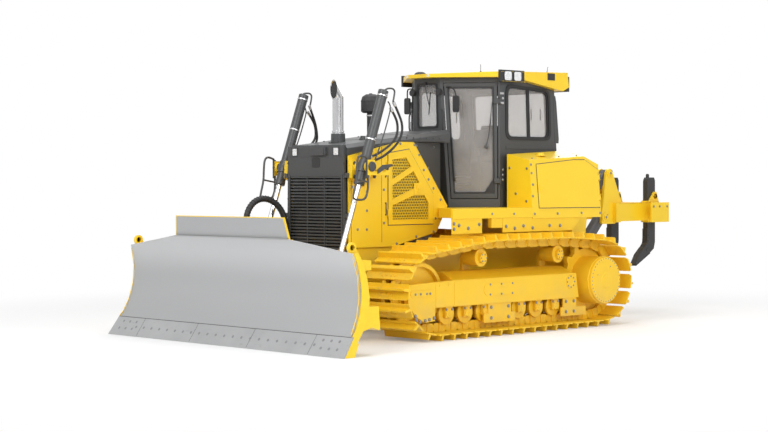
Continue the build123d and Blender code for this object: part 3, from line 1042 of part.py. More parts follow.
way = Vector(RIP_UPPER[0] - RIP_ROOT[0], 0, RIP_UPPER[1] - RIP_ROOT[1]).normalized()
with BuildPart() as rip_tube:
    start = Vector(RIP_ROOT[0], RIP_CYL_Y, RIP_ROOT[1])
    bar(tuple(start + way * 40), tuple(start + way * RIP_TUBE_LENGTH), RIP_CYL_R)
    cross_bar(*RIP_ROOT, (RIP_CYL_Y - 50, RIP_CYL_Y + 50), 62)
    bar(tuple(start + way * 100), tuple(start + way * (RIP_TUBE_LENGTH + 5)), RIP_ROD_R + FIT, Mode.SUBTRACT)
    cross_bar(*RIP_ROOT, (RIP_CYL_Y - 60, RIP_CYL_Y + 60), RIP_PIN_R + FIT, Mode.SUBTRACT)
save_both(rip_tube.part, "ripper_tubes")
with BuildPart() as rip_rod:
    eye = Vector(RIP_UPPER[0], RIP_CYL_Y, RIP_UPPER[1])
    bar(tuple(eye - way * RIP_ROD_LENGTH), tuple(eye - way * 40), RIP_ROD_R)
    cross_bar(*RIP_UPPER, (RIP_CYL_Y - 28, RIP_CYL_Y + 28), 55)
save_both(rip_rod.part, "ripper_rods")
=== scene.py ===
"""The looks of a crawler bulldozer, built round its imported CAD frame."""
import math

import bmesh
import bpy
from bpy.props import FloatProperty, FloatVectorProperty, IntProperty, PointerProperty
from mathutils import Matrix, Vector


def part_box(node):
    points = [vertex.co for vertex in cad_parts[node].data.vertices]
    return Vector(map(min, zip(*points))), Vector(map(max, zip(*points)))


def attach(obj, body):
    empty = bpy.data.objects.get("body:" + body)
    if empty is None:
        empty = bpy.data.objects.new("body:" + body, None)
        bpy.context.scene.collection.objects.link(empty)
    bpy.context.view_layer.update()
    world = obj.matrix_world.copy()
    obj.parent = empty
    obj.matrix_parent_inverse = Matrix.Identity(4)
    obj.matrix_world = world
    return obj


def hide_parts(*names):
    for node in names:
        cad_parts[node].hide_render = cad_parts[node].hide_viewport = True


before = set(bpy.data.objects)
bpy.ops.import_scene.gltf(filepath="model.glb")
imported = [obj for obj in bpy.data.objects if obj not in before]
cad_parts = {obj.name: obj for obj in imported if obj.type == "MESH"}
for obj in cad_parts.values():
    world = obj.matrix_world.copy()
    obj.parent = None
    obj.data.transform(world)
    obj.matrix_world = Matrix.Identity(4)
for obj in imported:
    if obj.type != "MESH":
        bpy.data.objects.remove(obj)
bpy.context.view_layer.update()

bl_info = {
    "name": "Crawler Bulldozer",
    "version": (1, 0, 0),
    "blender": (4, 5, 0),
    "location": "View3D > Sidebar > Bulldozer",
    "description": "Dresses the frame of a crawler bulldozer with its finishes and fine parts",
    "category": "Add Mesh",
}

# ---------------------------------------------------------------- sizes from the frame
TRACK_LOW, TRACK_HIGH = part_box("track_left")
TRACK_Y = (TRACK_LOW.y + TRACK_HIGH.y) / 2
HEAD_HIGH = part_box("front_head")[1]
EDGE_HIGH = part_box("cutting_edge")[1]

SPROCKET = Vector((-1.505, 0, 0.585))
IDLER = Vector((1.575, 0, 0.551))
TRUNNION = Vector((2.013, 0.715, 2.030))
LIFT_EYE = Vector((2.460, 0.715, 0.800))
RAM_AXIS = (LIFT_EYE - TRUNNION).normalized()
SIDES = ((1, "left"), (-1, "right"))


# ================================================================ finishes
class Signal:
    """A shader socket that takes part in arithmetic."""

    def __init__(self, finish, socket):
        self.finish, self.socket = finish, socket

    def _maths(self, operation, first, second):
        return self.finish.node("ShaderNodeMath", {"operation": operation}, {0: first, 1: second})

    def __add__(self, other):
        return self._maths("ADD", self, other)

    def __radd__(self, other):
        return self._maths("ADD", other, self)

    def __sub__(self, other):
        return self._maths("SUBTRACT", self, other)

    def __rsub__(self, other):
        return self._maths("SUBTRACT", other, self)

    def __mul__(self, other):
        return self._maths("MULTIPLY", self, other)

    def __rmul__(self, other):
        return self._maths("MULTIPLY", other, self)

    def above(self, edge, soft):
        """0 below edge, 1 above edge + soft."""
        return self.finish.node("ShaderNodeMapRange", {"interpolation_type": "SMOOTHSTEP"},
                {"Value": self, "From Min": edge, "From Max": edge + soft})


class Finish:
    """A material, written as expressions on its texture signals."""

    def __init__(self, name, **constants):
        self.material = bpy.data.materials.new(name)
        self.material.use_nodes = True
        self.tree = self.material.node_tree
        self.shader = self.tree.nodes["Principled BSDF"]
        for socket, value in constants.items():
            self.shader.inputs[socket.replace("_", " ")].default_value = value
        self.place = self.node("ShaderNodeTexCoord", output="Object")

    def node(self, kind, settings=None, values=None, output=0):
        """Any node: its settings are set first, then the values or links of its sockets."""
        made = self.tree.nodes.new(kind)
        for key, value in (settings or {}).items():
            setattr(made, key, value)
        for key, value in (values or {}).items():
            socket = made.inputs[key]
            if isinstance(value, Signal):
                self.tree.links.new(value.socket, socket)
            else:
                socket.default_value = value
        return Signal(self, made.outputs[output])

    def noise(self, scale, detail=3.0, roughness=0.55, stretch=(1, 1, 1)):
        """Cloudy variation from 0 to 1, scale in waves per metre."""
        place = self.place
        if stretch != (1, 1, 1):
            place = self.node("ShaderNodeVectorMath", {"operation": "MULTIPLY"}, {0: place, 1: stretch})
        return self.node("ShaderNodeTexNoise", {}, {"Vector": place, "Scale": scale, "Detail": detail,
                "Roughness": roughness})

    def axis(self, letter):
        return self.node("ShaderNodeSeparateXYZ", {}, {0: self.place}, "XYZ".index(letter))

    def blend(self, share, first, second):
        """From colour first to colour second as share goes from 0 to 1."""
        return self.node("ShaderNodeMix", {"data_type": "RGBA"}, {0: share, 6: first, 7: second}, 2)

    def colour(self, signal):
        self.link(signal, "Base Color")

    def rough(self, signal):
        self.link(signal, "Roughness")

    def link(self, signal, socket):
        self.tree.links.new(signal.socket, self.shader.inputs[socket])

    def bump(self, height, distance, strength=1.0):
        """Surface relief in metres."""
        relief = self.node("ShaderNodeBump", {}, {"Height": height, "Distance": distance,
                "Strength": strength})
        self.link(relief, "Normal")


def shade(colour, factor):
    return tuple(min(1.0, c * factor) for c in colour[:3]) + (1.0,)


def painted_metal(name, colour, gloss, dust=0.0, low=0.0, high=1.0, coat=0.0):
    """Paint over steel plate: soft tone changes, orange peel, and dust towards the ground."""
    f = Finish(name, Metallic=0.0, Coat_Weight=coat, Coat_Roughness=0.12)
    cloud = f.noise(1.4, 4.0)
    fine = f.noise(38.0, 2.0)
    paint = f.blend(cloud, shade(colour, 0.94), shade(colour, 1.04))
    if dust:
        settled = (1 - f.axis("Z").above(low, high - low)) * (f.noise(5.0, 5.0).above(0.35, 0.4)) * dust
        paint = f.blend(settled, paint, (0.42, 0.36, 0.25, 1.0))
        f.rough(gloss + settled * 0.35 + fine * 0.06)
    else:
        f.rough(gloss + fine * 0.07)
    f.colour(paint)
    f.bump(f.noise(240.0, 2.0) + cloud * 0.6, 0.0004, 0.35)
    return f.material


def body_yellow(look):
    return painted_metal("body_yellow_paint", look.body_yellow, 0.34, coat=0.15)


def low_yellow(look):
    """Paint on the running gear, with dust settled low down."""
    return painted_metal("running_gear_paint", look.track_yellow, 0.36, dust=0.30, low=0.05, high=0.75)


def track_yellow(look):
    """Painted shoes and links, with bare worn patches scattered by noise."""
    f = Finish("track_paint", Metallic=0.0)
    cloud = f.noise(3.2, 5.0)
    paint = f.blend(cloud, shade(look.track_yellow, 0.86), shade(look.track_yellow, 1.03))
    worn = f.noise(26.0, 6.0, 0.65).above(0.60, 0.10)
    settled = f.noise(8.0, 5.0).above(0.50, 0.25) * 0.22
    paint = f.blend(worn * 0.30, paint, (0.35, 0.26, 0.10, 1.0))
    f.colour(f.blend(settled, paint, (0.40, 0.30, 0.16, 1.0)))
    f.rough(0.38 + worn * 0.15 + settled * 0.5)
    f.bump(f.noise(60.0, 5.0, 0.6) + worn * 0.3, 0.0010, 0.45)
    return f.material


def charcoal_paint(look):
    return painted_metal("charcoal_paint", look.charcoal, 0.42, coat=0.10)


def blade_grey(look):
    """Primed and brushed plate, with painted light by height: painted shade on the lower face and on the
    spill guard, and a painted highlight towards the top.
    """
    f = Finish("blade_grey_paint", Metallic=0.25)
    cloud = f.noise(0.8, 4.0)
    streak = f.noise(9.0, 4.0, 0.6, (0.25, 0.25, 3.0))
    height = f.axis("Z")
    # Painted light by height: darker low down (painted shade), lighter up the curve (painted highlight),
    # darker again on the down-facing spill guard (painted shade).
    base = f.blend(height.above(0.15, 0.55), shade(look.blade_grey, 0.78), shade(look.blade_grey, 0.86))
    base = f.blend(height.above(0.70, 0.40), base, shade(look.blade_grey, 1.18))
    base = f.blend(height.above(1.20, 0.03), base, shade(look.blade_grey, 0.84))
    base = f.blend(cloud * 0.25, base, shade(look.blade_grey, 0.86))
    f.colour(f.blend(streak * 0.10, base, shade(look.blade_grey, 1.15)))
    f.rough(0.40 + streak * 0.10 + cloud * 0.06)
    f.bump(streak + f.noise(180.0, 2.0) * 0.4, 0.0004, 0.4)
    return f.material


def edge_steel(look):
    """The cutting edge: thick flame-cut steel with a light grey coat."""
    f = Finish("edge_steel", Metallic=0.35)
    cloud = f.noise(2.2, 5.0)
    scuff = f.noise(30.0, 5.0, 0.65, (1.0, 0.3, 1.0)).above(0.58, 0.12)
    base = f.blend(cloud, shade(look.blade_grey, 0.70), shade(look.blade_grey, 0.98))
    f.colour(f.blend(scuff * 0.35, base, (0.30, 0.30, 0.30, 1.0)))
    f.rough(0.42 + scuff * 0.18)
    f.bump(f.noise(90.0, 4.0), 0.0007, 0.5)
    return f.material


def polished_metal(name, colour, roughness):
    """Chrome or stainless tube, with the faint rings left by turning."""
    f = Finish(name, Metallic=1.0)
    cloud = f.noise(6.0, 3.0)
    f.colour(f.blend(cloud, shade(colour, 0.90), shade(colour, 1.05)))
    f.rough(roughness + cloud * 0.10)
    f.bump(f.noise(420.0, 2.0), 0.0001, 0.3)
    return f.material


def moulded_plastic(name, colour, roughness=0.55):
    """Grained plastic or rubber."""
    f = Finish(name, Metallic=0.0)
    cloud = f.noise(4.0, 4.0)
    f.colour(f.blend(cloud, shade(colour, 0.80), shade(colour, 1.25)))
    f.rough(roughness + f.noise(50.0, 3.0) * 0.15)
    f.bump(f.noise(700.0, 2.0), 0.0003, 0.6)
    return f.material


def cast_metal(name, colour, roughness=0.5):
    """Cast or forged steel under thin paint."""
    f = Finish(name, Metallic=0.15)
    cloud = f.noise(7.0, 5.0)
    f.colour(f.blend(cloud, shade(colour, 0.80), shade(colour, 1.15)))
    f.rough(roughness + cloud * 0.15)
    f.bump(f.noise(130.0, 5.0, 0.6), 0.0012, 0.5)
    return f.material


def window_glass(look):
    """Tinted cab glass: mostly clear, with a light film of dust."""
    f = Finish("tinted_glass", Metallic=0.0, IOR=1.45, Roughness=0.02)
    film = f.noise(2.5, 5.0)
    f.colour(f.blend(film, shade(look.glass_tint, 0.85), shade(look.glass_tint, 1.15)))
    f.link(look.glass_density + film * 0.10, "Alpha")
    return f.material


def lamp_glass():
    f = Finish("lamp_glass", Metallic=0.0, IOR=1.5)
    ribs = f.noise(90.0, 1.0, 0.4, (1.0, 1.0, 0.1))
    f.colour(f.blend(ribs, (0.62, 0.64, 0.66, 1.0), (0.95, 0.96, 0.98, 1.0)))
    f.rough(0.06 + ribs * 0.08)
    f.bump(ribs, 0.0008, 0.5)
    return f.material


def amber_glass():
    f = Finish("amber_glass", Metallic=0.0, IOR=1.5)
    ribs = f.noise(110.0, 1.0)
    f.colour(f.blend(ribs, (0.85, 0.28, 0.02, 1.0), (1.0, 0.46, 0.05, 1.0)))
    f.rough(0.10 + ribs * 0.1)
    f.bump(ribs, 0.0006, 0.4)
    return f.material


def seat_cloth():
    """Woven seat cover."""
    f = Finish("seat_cloth", Metallic=0.0, Sheen_Weight=0.3)
    weave = f.noise(900.0, 2.0, 0.5, (1.0, 0.4, 1.0))
    f.colour(f.blend(weave, (0.035, 0.035, 0.038, 1.0), (0.11, 0.11, 0.12, 1.0)))
    f.rough(0.75 + weave * 0.2)
    f.bump(weave, 0.0006, 0.7)
    return f.material


# ================================================================ mesh tools
class Forge:
    """Collects plates, bars, bolts and turned parts into one mesh."""

    def __init__(self):
        self.mesh = bmesh.new()

    def faces(self, points, loops):
        made = [self.mesh.verts.new(p) for p in points]
        return [self.mesh.faces.new([made[i] for i in loop]) for loop in loops]

    def box(self, corner, opposite):
        x, y, z = (sorted(pair) for pair in zip(corner, opposite))
        points = [(x[i], y[j], z[k]) for i in (0, 1) for j in (0, 1) for k in (0, 1)]
        self.faces(points, ((0, 1, 3, 2), (4, 6, 7, 5), (0, 4, 5, 1), (2, 3, 7, 6), (0, 2, 6, 4),
                (1, 5, 7, 3)))

    def prism(self, outline, offset):
        """A closed outline of 3-D points pushed along offset."""
        n = len(outline)
        outline = [Vector(p) for p in outline]
        far = [p + Vector(offset) for p in outline]
        loops = [list(range(n))[::-1], list(range(n, 2 * n))]
        loops += [(i, (i + 1) % n, n + (i + 1) % n, n + i) for i in range(n)]
        self.faces(outline + far, loops)

    def side_plate(self, outline, ys):
        self.prism([(x, ys[0], z) for x, z in outline], (0, ys[1] - ys[0], 0))

    def front_plate(self, outline, xs):
        self.prism([(xs[0], y, z) for y, z in outline], (xs[1] - xs[0], 0, 0))

    def turned(self, origin, axis, profile, steps=24):
        """A lathe part: profile is (distance along the axis, radius) pairs, closed by its ends."""
        origin, axis = Vector(origin), Vector(axis).normalized()
        across = axis.orthogonal().normalized()
        other = axis.cross(across)
        rings = []
        for along, radius in profile:
            if radius <= 0:
                rings.append([self.mesh.verts.new(origin + axis * along)])
                continue
            rings.append([self.mesh.verts.new(
                origin + axis * along + (across * math.cos(t) + other * math.sin(t)) * radius)
                for t in (2 * math.pi * i / steps for i in range(steps))])
        for near, far in zip(rings, rings[1:]):
            for i in range(steps):
                j = (i + 1) % steps
                if len(near) == 1 and len(far) == 1:
                    break
                if len(near) == 1:
                    self.mesh.faces.new((near[0], far[j], far[i]))
                elif len(far) == 1:
                    self.mesh.faces.new((near[i], near[j], far[0]))
                else:
                    self.mesh.faces.new((near[i], near[j], far[j], far[i]))
        for ring, flip in ((rings[0], True), (rings[-1], False)):
            if len(ring) > 1:
                self.mesh.faces.new(ring[::-1] if flip else ring)

    def rod(self, start, end, radius, steps=16):
        run = Vector(end) - Vector(start)
        self.turned(start, run, ((0, radius), (run.length, radius)), steps)

    def bolt(self, place, normal, size=0.012, washer=True, head=0.6):
        """A hexagon head on a washer, size being half its width across flats."""
        place, normal = Vector(place), Vector(normal).normalized()
        if washer:
            self.turned(place, normal, ((0, size * 1.45), (size * 0.18, size * 1.45)), 12)
        self.turned(place, normal, ((0, size * 1.12), (size * (head + 0.18) - size * 0.12, size * 1.12),
                (size * (head + 0.18), size * 0.95)), 6)

    def ring_of_bolts(self, centre, axis, radius, count, size, start=0.0):
        axis = Vector(axis).normalized()
        across = Vector((1, 0, 0)) if abs(axis.x) < 0.9 else Vector((0, 1, 0))
        across = (across - axis * across.dot(axis)).normalized()
        other = axis.cross(across)
        for i in range(count):
            t = start + 2 * math.pi * i / count
            self.bolt(Vector(centre) + (across * math.cos(t) + other * math.sin(t)) * radius, axis, size)

    def pipe(self, points, radius, steps=12):
        """A round tube along a smooth line of points."""
        points = [Vector(p) for p in points]
        count = len(points)
        up = Vector((0.13, 0.31, 0.94))
        rings = []
        for i, p in enumerate(points):
            way = (points[min(i + 1, count - 1)] - points[max(i - 1, 0)]).normalized()
            across = way.cross(up).normalized()
            other = across.cross(way)
            up = other
            rings.append([self.mesh.verts.new(p + (across * math.cos(t) + other * math.sin(t)) * radius)
                    for t in (2 * math.pi * k / steps for k in range(steps))])
        for near, far in zip(rings, rings[1:]):
            for i in range(steps):
                j = (i + 1) % steps
                self.mesh.faces.new((near[i], near[j], far[j], far[i]))
        self.mesh.faces.new(rings[0][::-1])
        self.mesh.faces.new(rings[-1])

    def mirror(self):
        """Adds the mirror image on the other side of the machine."""
        geometry = self.mesh.verts[:] + self.mesh.edges[:] + self.mesh.faces[:]
        twin = bmesh.ops.duplicate(self.mesh, geom=geometry)["geom"]
        for v in (g for g in twin if isinstance(g, bmesh.types.BMVert)):
            v.co.y = -v.co.y
        bmesh.ops.reverse_faces(self.mesh, faces=[g for g in twin if isinstance(g, bmesh.types.BMFace)])

    def finish(self, name, body, finish, bevel=0.0015, replaces=(), angle=35):
        """Makes the collected mesh a piece with a finish, riding on a body."""
        bmesh.ops.recalc_face_normals(self.mesh, faces=self.mesh.faces[:])
        data = bpy.data.meshes.new(name)
        self.mesh.to_mesh(data)
        self.mesh.free()
        piece = bpy.data.objects.new(name, data)
        bpy.context.scene.collection.objects.link(piece)
        data.materials.append(FINISHES[finish])
        soften(piece, bevel, angle)
        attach(piece, body)
        if replaces:
            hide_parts(*replaces)
        return piece


def soften(piece, width, angle=35, weld=False):
    """Rounds the sharp edges a little and keeps the flats flat."""
    for polygon in piece.data.polygons:
        polygon.use_smooth = True
    if weld:
        joined = piece.modifiers.new("weld", "WELD")
        joined.merge_threshold = 0.00002
    if width:
        edge = piece.modifiers.new("edges", "BEVEL")
        edge.width, edge.segments, edge.limit_method = width, 2, "ANGLE"
        edge.angle_limit = math.radians(angle)
        edge.use_clamp_overlap = not weld
    else:
        edge = piece.modifiers.new("split", "EDGE_SPLIT")
        edge.split_angle = math.radians(angle)
    flats = piece.modifiers.new("flats", "WEIGHTED_NORMAL")
    flats.keep_sharp = True


def smooth_line(points, order=3, resolution=8):
    """Points along the NURBS line that has these as its control points."""
    data = bpy.data.curves.new("line", "CURVE")
    data.dimensions = "3D"
    spline = data.splines.new("NURBS")
    spline.points.add(len(points) - 1)
    for control, place in zip(spline.points, points):
        control.co = (*place, 1.0)
    spline.order_u = order
    spline.use_endpoint_u = True
    data.resolution_u = resolution
    holder = bpy.data.objects.new("line", data)
    made = bpy.data.meshes.new_from_object(holder)
    line = [v.co.copy() for v in made.vertices]
    bpy.data.objects.remove(holder)
    bpy.data.meshes.remove(made)
    bpy.data.curves.remove(data)
    return line


FINISHES = {}


def dress(node, finish, width=0.003):
    """Gives a CAD node its finish and softened edges."""
    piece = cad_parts[node]
    piece.data.materials.clear()
    piece.data.materials.append(FINISHES[finish])
    for polygon in piece.data.polygons:
        polygon.material_index = 0
    soften(piece, width, weld=True)
    return piece


# ================================================================ settings
def colour_property(name, description, default):
    return FloatVectorProperty(name=name, description=description, subtype="COLOR", size=3,
            min=0.0, max=1.0, default=default)


class BulldozerColours(bpy.types.PropertyGroup):
    """Colours of the machine's paints, glass and metals."""

    body_yellow: colour_property("Body yellow", "Paint of the hull, tanks, roof and ripper",
            (0.98, 0.65, 0.018))
    track_yellow: colour_property("Running gear yellow", "Paint of the tracks and track frames",
            (0.96, 0.61, 0.024))
    charcoal: colour_property("Charcoal", "Paint of the hood, grille, cab frame and rams",
            (0.060, 0.062, 0.064))
    blade_grey: colour_property("Blade grey", "Coat of the mouldboard and the spill guard",
            (0.50, 0.505, 0.51))
    chrome: colour_property("Chrome", "Ram rods and exhaust stack", (0.62, 0.62, 0.63))
    glass_tint: colour_property("Glass tint", "Tint of the cab windows", (0.62, 0.595, 0.58))
    glass_density: FloatProperty(name="Glass density", description="How much the glass hides, 0 to 1",
            subtype="FACTOR", default=0.24, min=0.0, max=1.0)


class BulldozerSizes(bpy.types.PropertyGroup):
    """Sizes of the fine parts."""

    bolt_head: FloatProperty(name="Bolt head", description="Half width of a body bolt's head",
            unit="LENGTH", default=0.012, min=0.004, max=0.03)
    edge_radius: FloatProperty(name="Edge radius", description="Rounding of plate edges",
            unit="LENGTH", default=0.003, min=0.0, max=0.01)
    mesh_pitch: FloatProperty(name="Mesh pitch", description="Spacing of the wires in the engine doors",
            unit="LENGTH", default=0.026, min=0.008, max=0.05)
    shoe_count: IntProperty(name="Shoes", description="Track shoes on each side", default=44,
            min=30, max=60)


# ================================================================ stage
def area_lamp(name, place, target, size, power):
    data = bpy.data.lights.new(name, "AREA")
    data.shape, data.size, data.size_y, data.energy = "RECTANGLE", size[0], size[1], power
    lamp = bpy.data.objects.new(name, data)
    bpy.context.scene.collection.objects.link(lamp)
    lamp.location = place
    lamp.rotation_euler = (Vector(target) - Vector(place)).to_track_quat("-Z", "Y").to_euler()
    return lamp


class BULLDOZER_OT_stage(bpy.types.Operator):
    """Sets up the camera, the soft studio light and the pale floor"""

    bl_idname = "bulldozer.stage"
    bl_label = "Stage"

    def execute(self, context):
        scene = context.scene
        data = bpy.data.cameras.new("camera")
        data.sensor_width, data.lens = 36.0, 81.03
        data.clip_start, data.clip_end = 0.5, 400.0
        camera = bpy.data.objects.new("camera", data)
        scene.collection.objects.link(camera)
        azimuth, pitch, roll = (math.radians(a) for a in (46.27, 1.16, -0.18))
        ahead = Vector((-math.cos(azimuth) * math.cos(pitch), -math.sin(azimuth) * math.cos(pitch),
                -math.sin(pitch)))
        right = ahead.cross(Vector((0, 0, 1))).normalized()
        up = right.cross(ahead)
        right, up = (right * math.cos(roll) + up * math.sin(roll),
                up * math.cos(roll) - right * math.sin(roll))
        turn = Matrix((right, up, -ahead)).transposed().to_4x4()
        camera.matrix_world = Matrix.Translation((15.820, 15.491, 1.862)) @ turn
        scene.camera = camera
        scene.view_settings.view_transform = "Standard"

        world = bpy.data.worlds.new("studio")
        world.use_nodes = True
        scene.world = world
        tree = world.node_tree
        tree.nodes.clear()
        out = tree.nodes.new("ShaderNodeOutputWorld")
        soft, white = tree.nodes.new("ShaderNodeBackground"), tree.nodes.new("ShaderNodeBackground")
        soft.inputs["Color"].default_value = (1.0, 1.0, 1.0, 1.0)
        soft.inputs["Strength"].default_value = 0.38
        white.inputs["Color"].default_value = (1.0, 1.0, 1.0, 1.0)
        white.inputs["Strength"].default_value = 1.0
        path = tree.nodes.new("ShaderNodeLightPath")
        seen = path.outputs["Is Camera Ray"]
        for ray in ("Is Glossy Ray", "Is Transmission Ray"):
            either = tree.nodes.new("ShaderNodeMath")
            either.operation = "MAXIMUM"
            tree.links.new(seen, either.inputs[0])
            tree.links.new(path.outputs[ray], either.inputs[1])
            seen = either.outputs[0]
        mix = tree.nodes.new("ShaderNodeMixShader")
        tree.links.new(seen, mix.inputs[0])
        tree.links.new(soft.outputs[0], mix.inputs[1])
        tree.links.new(white.outputs[0], mix.inputs[2])
        tree.links.new(mix.outputs[0], out.inputs["Surface"])

        area_lamp("key", (14.0, 3.0, 11.0), (0.5, 0.5, 1.0), (9.0, 6.0), 1150)
        area_lamp("side", (4.0, 16.0, 7.0), (0.0, 0.5, 1.2), (10.0, 6.0), 900)
        area_lamp("top", (-1.0, 0.0, 13.0), (0.0, 0.0, 0.0), (12.0, 10.0), 800)
        area_lamp("back", (-13.0, -8.0, 8.0), (0.0, 0.0, 1.0), (8.0, 6.0), 420)

        mesh = bmesh.new()
        bmesh.ops.create_grid(mesh, x_segments=1, y_segments=1, size=120)
        data = bpy.data.meshes.new("floor")
        mesh.to_mesh(data)
        mesh.free()
        floor = bpy.data.objects.new("floor", data)
        scene.collection.objects.link(floor)
        floor.location.z = -0.001
        f = Finish("studio_floor", Roughness=0.9)
        f.colour(f.blend(f.noise(0.3), (0.93, 0.93, 0.935, 1.0), (0.95, 0.95, 0.955, 1.0)))
        far = f.node("ShaderNodeVectorMath", {"operation": "LENGTH"}, {0: f.place}, "Value").above(4.5, 5.0)
        path = f.node("ShaderNodeLightPath", output="Is Camera Ray")
        white = f.node("ShaderNodeEmission", {}, {"Strength": 1.0})
        seen = f.node("ShaderNodeMixShader", {}, {0: path * (0.18 + far * 0.82),
                1: Signal(f, f.shader.outputs[0]), 2: white})
        f.tree.links.new(seen.socket, f.tree.nodes["Material Output"].inputs["Surface"])
        data.materials.append(f.material)
        return {"FINISHED"}


class BULLDOZER_OT_finishes(bpy.types.Operator):
    """Mixes the machine's paints, metals, glass and plastics"""

    bl_idname = "bulldozer.finishes"
    bl_label = "Finishes"

    def execute(self, context):
        look = context.scene.bulldozer_colours
        FINISHES.update({
            "yellow": body_yellow(look),
            "gear": low_yellow(look),
            "track": track_yellow(look),
            "charcoal": charcoal_paint(look),
            "blade": blade_grey(look),
            "edge": edge_steel(look),
            "chrome": polished_metal("chrome", look.chrome, 0.10),
            "stack": polished_metal("stack_steel", look.chrome, 0.16),
            "plastic": moulded_plastic("dark_plastic", (0.030, 0.030, 0.032)),
            "rubber": moulded_plastic("hose_rubber", (0.018, 0.018, 0.019), 0.45),
            "link": cast_metal("link_grey", (0.10, 0.10, 0.105)),
            "shank": cast_metal("shank_black", (0.040, 0.040, 0.041), 0.45),
            "engine": cast_metal("engine_cast", (0.20, 0.20, 0.19)),
            "mesh": painted_metal("mesh_shadow", (0.085, 0.066, 0.016), 0.60),
            "glass": window_glass(look),
            "lamp": lamp_glass(),
            "amber": amber_glass(),
            "cloth": seat_cloth(),
            "zinc": polished_metal("plated_steel", (0.62, 0.62, 0.63), 0.28),
            "bolt": polished_metal("bolt_steel", (0.30, 0.30, 0.31), 0.35),
        })
        return {"FINISHED"}


NODE_FINISHES = {       # finish: edge rounding, CAD nodes
    "yellow": (0.003, ("main_frame", "engine_shields", "engine_door_left", "engine_door_right",
        "lift_brackets", "push_frame", "blade_carrier", "blade", "platform", "tanks",
        "rear_tank", "hatch_left", "hatch_right", "cab_roof", "ripper_frame")),
    "gear": (0.003, ("track_frames", "final_drives")),
    "track": (0.002, ("track_left", "track_right", "rollers", "idlers")),
    "charcoal": (0.003, ("hood", "front_head", "cowl", "cab", "cab_door_left", "cab_door_right",
        "lift_tube_left", "lift_tube_right", "angle_tube_left", "angle_tube_right",
        "tilt_tube", "ripper_tubes")),
    "blade": (0.002, ("mouldboard", "spill_guard")),
    "edge": (0.002, ("cutting_edge",)),
    "chrome": (0.001, ("lift_rod_left", "lift_rod_right", "angle_rod_left", "angle_rod_right", "tilt_rod",
        "ripper_rods")),
    "stack": (0.0015, ("exhaust_stack",)),
    "plastic": (0.002, ("precleaner", "console")),
    "link": (0.003, ("ripper_lower_links", "ripper_upper_links")),
    "shank": (0.003, ("ripper_shanks",)),
    "engine": (0.004, ("engine",)),
    "grille": (0.0, ("grille",)),
    "mesh": (0.0, ("door_mesh_left", "door_mesh_right")),
    "glass": (0.0, ("cab_glass", "door_glass_left", "door_glass_right")),
    "lamp": (0.002, ("front_lamps",)),
    "cloth": (0.01, ("seat",)),
}


class BULLDOZER_OT_frame(bpy.types.Operator):
    """Paints the CAD parts and rounds their edges"""

    bl_idname = "bulldozer.frame"
    bl_label = "Main parts"

    def execute(self, context):
        for finish, (width, nodes) in NODE_FINISHES.items():
            for node in nodes:
                dress(node, {"grille": "charcoal"}.get(finish, finish), width)
        return {"FINISHED"}


# ================================================================ tracks
SHOES_PITCH_LINE = (            # centre x, centre z and pitch radius of each wheel of the chain
    (SPROCKET.x, SPROCKET.z, 0.452), (IDLER.x, IDLER.z, 0.418),
    (0.569, 0.932, 0.1554), (-0.849, 0.932, 0.1554))
RAIL_OFFSET = 0.075
LINK_HALF = 0.052
SHOE_FACE = 0.068
GROUSER_TOP = 0.133
SHOE_HALF = TRACK_HIGH.y - TRACK_Y
ROLLER_Z = 0.2934
ROLLERS_X = [1.185 - 0.320 * i for i in range(8)]
CARRIERS_X = (0.569, -0.849)


def tangent_angle(first, second):
    """Direction from either centre to the tangent point of the outer tangent."""
    dx, dz = second[0] - first[0], second[1] - first[1]
    lean = math.asin((first[2] - second[2]) / math.hypot(dx, dz))
    return math.atan2(dz, dx) - math.pi / 2 + lean


def chain_line(circles):
    """The taut line round a ring of circles."""
    path = []
    for before, circle, after in zip(circles[-1:] + circles[:-1], circles, circles[1:] + circles[:1]):
        arrive, leave = tangent_angle(before, circle), tangent_angle(circle, after)
        while leave < arrive:
            leave += 2 * math.pi
        steps = max(2, round(math.degrees(leave - arrive)))
        for i in range(steps + 1):
            angle = arrive + (leave - arrive) * i / steps
            path.append(Vector((circle[0] + circle[2] * math.cos(angle), 0,
                    circle[1] + circle[2] * math.sin(angle))))
    return path


def chain_pins(count):
    """Pin centres at equal steps along the chain."""
    path = chain_line(SHOES_PITCH_LINE)
    closed = path + path[:1]
    lengths = [(b - a).length for a, b in zip(closed, closed[1:])]
    step = sum(lengths) / count
    pins, walked, target = [], 0.0, 0.0
    for a, b, length in zip(closed, closed[1:], lengths):
        while length > 0 and walked + length > target + 1e-9 and len(pins) < count:
            pins.append(a.lerp(b, (target - walked) / length))
            target += step
        walked += length
    return pins


class Link:
    """One pitch of the chain, as a frame: share of the pitch, y, distance out from the pitch line."""

    def __init__(self, start, end, y):
        self.start, self.run, self.y = start, end - start, y
        self.along = self.run.normalized()
        self.out = Vector((self.along.z, 0, -self.along.x))

    def at(self, share, y, out):
        return self.start + self.run * share + self.out * out + Vector((0, self.y + y, 0))


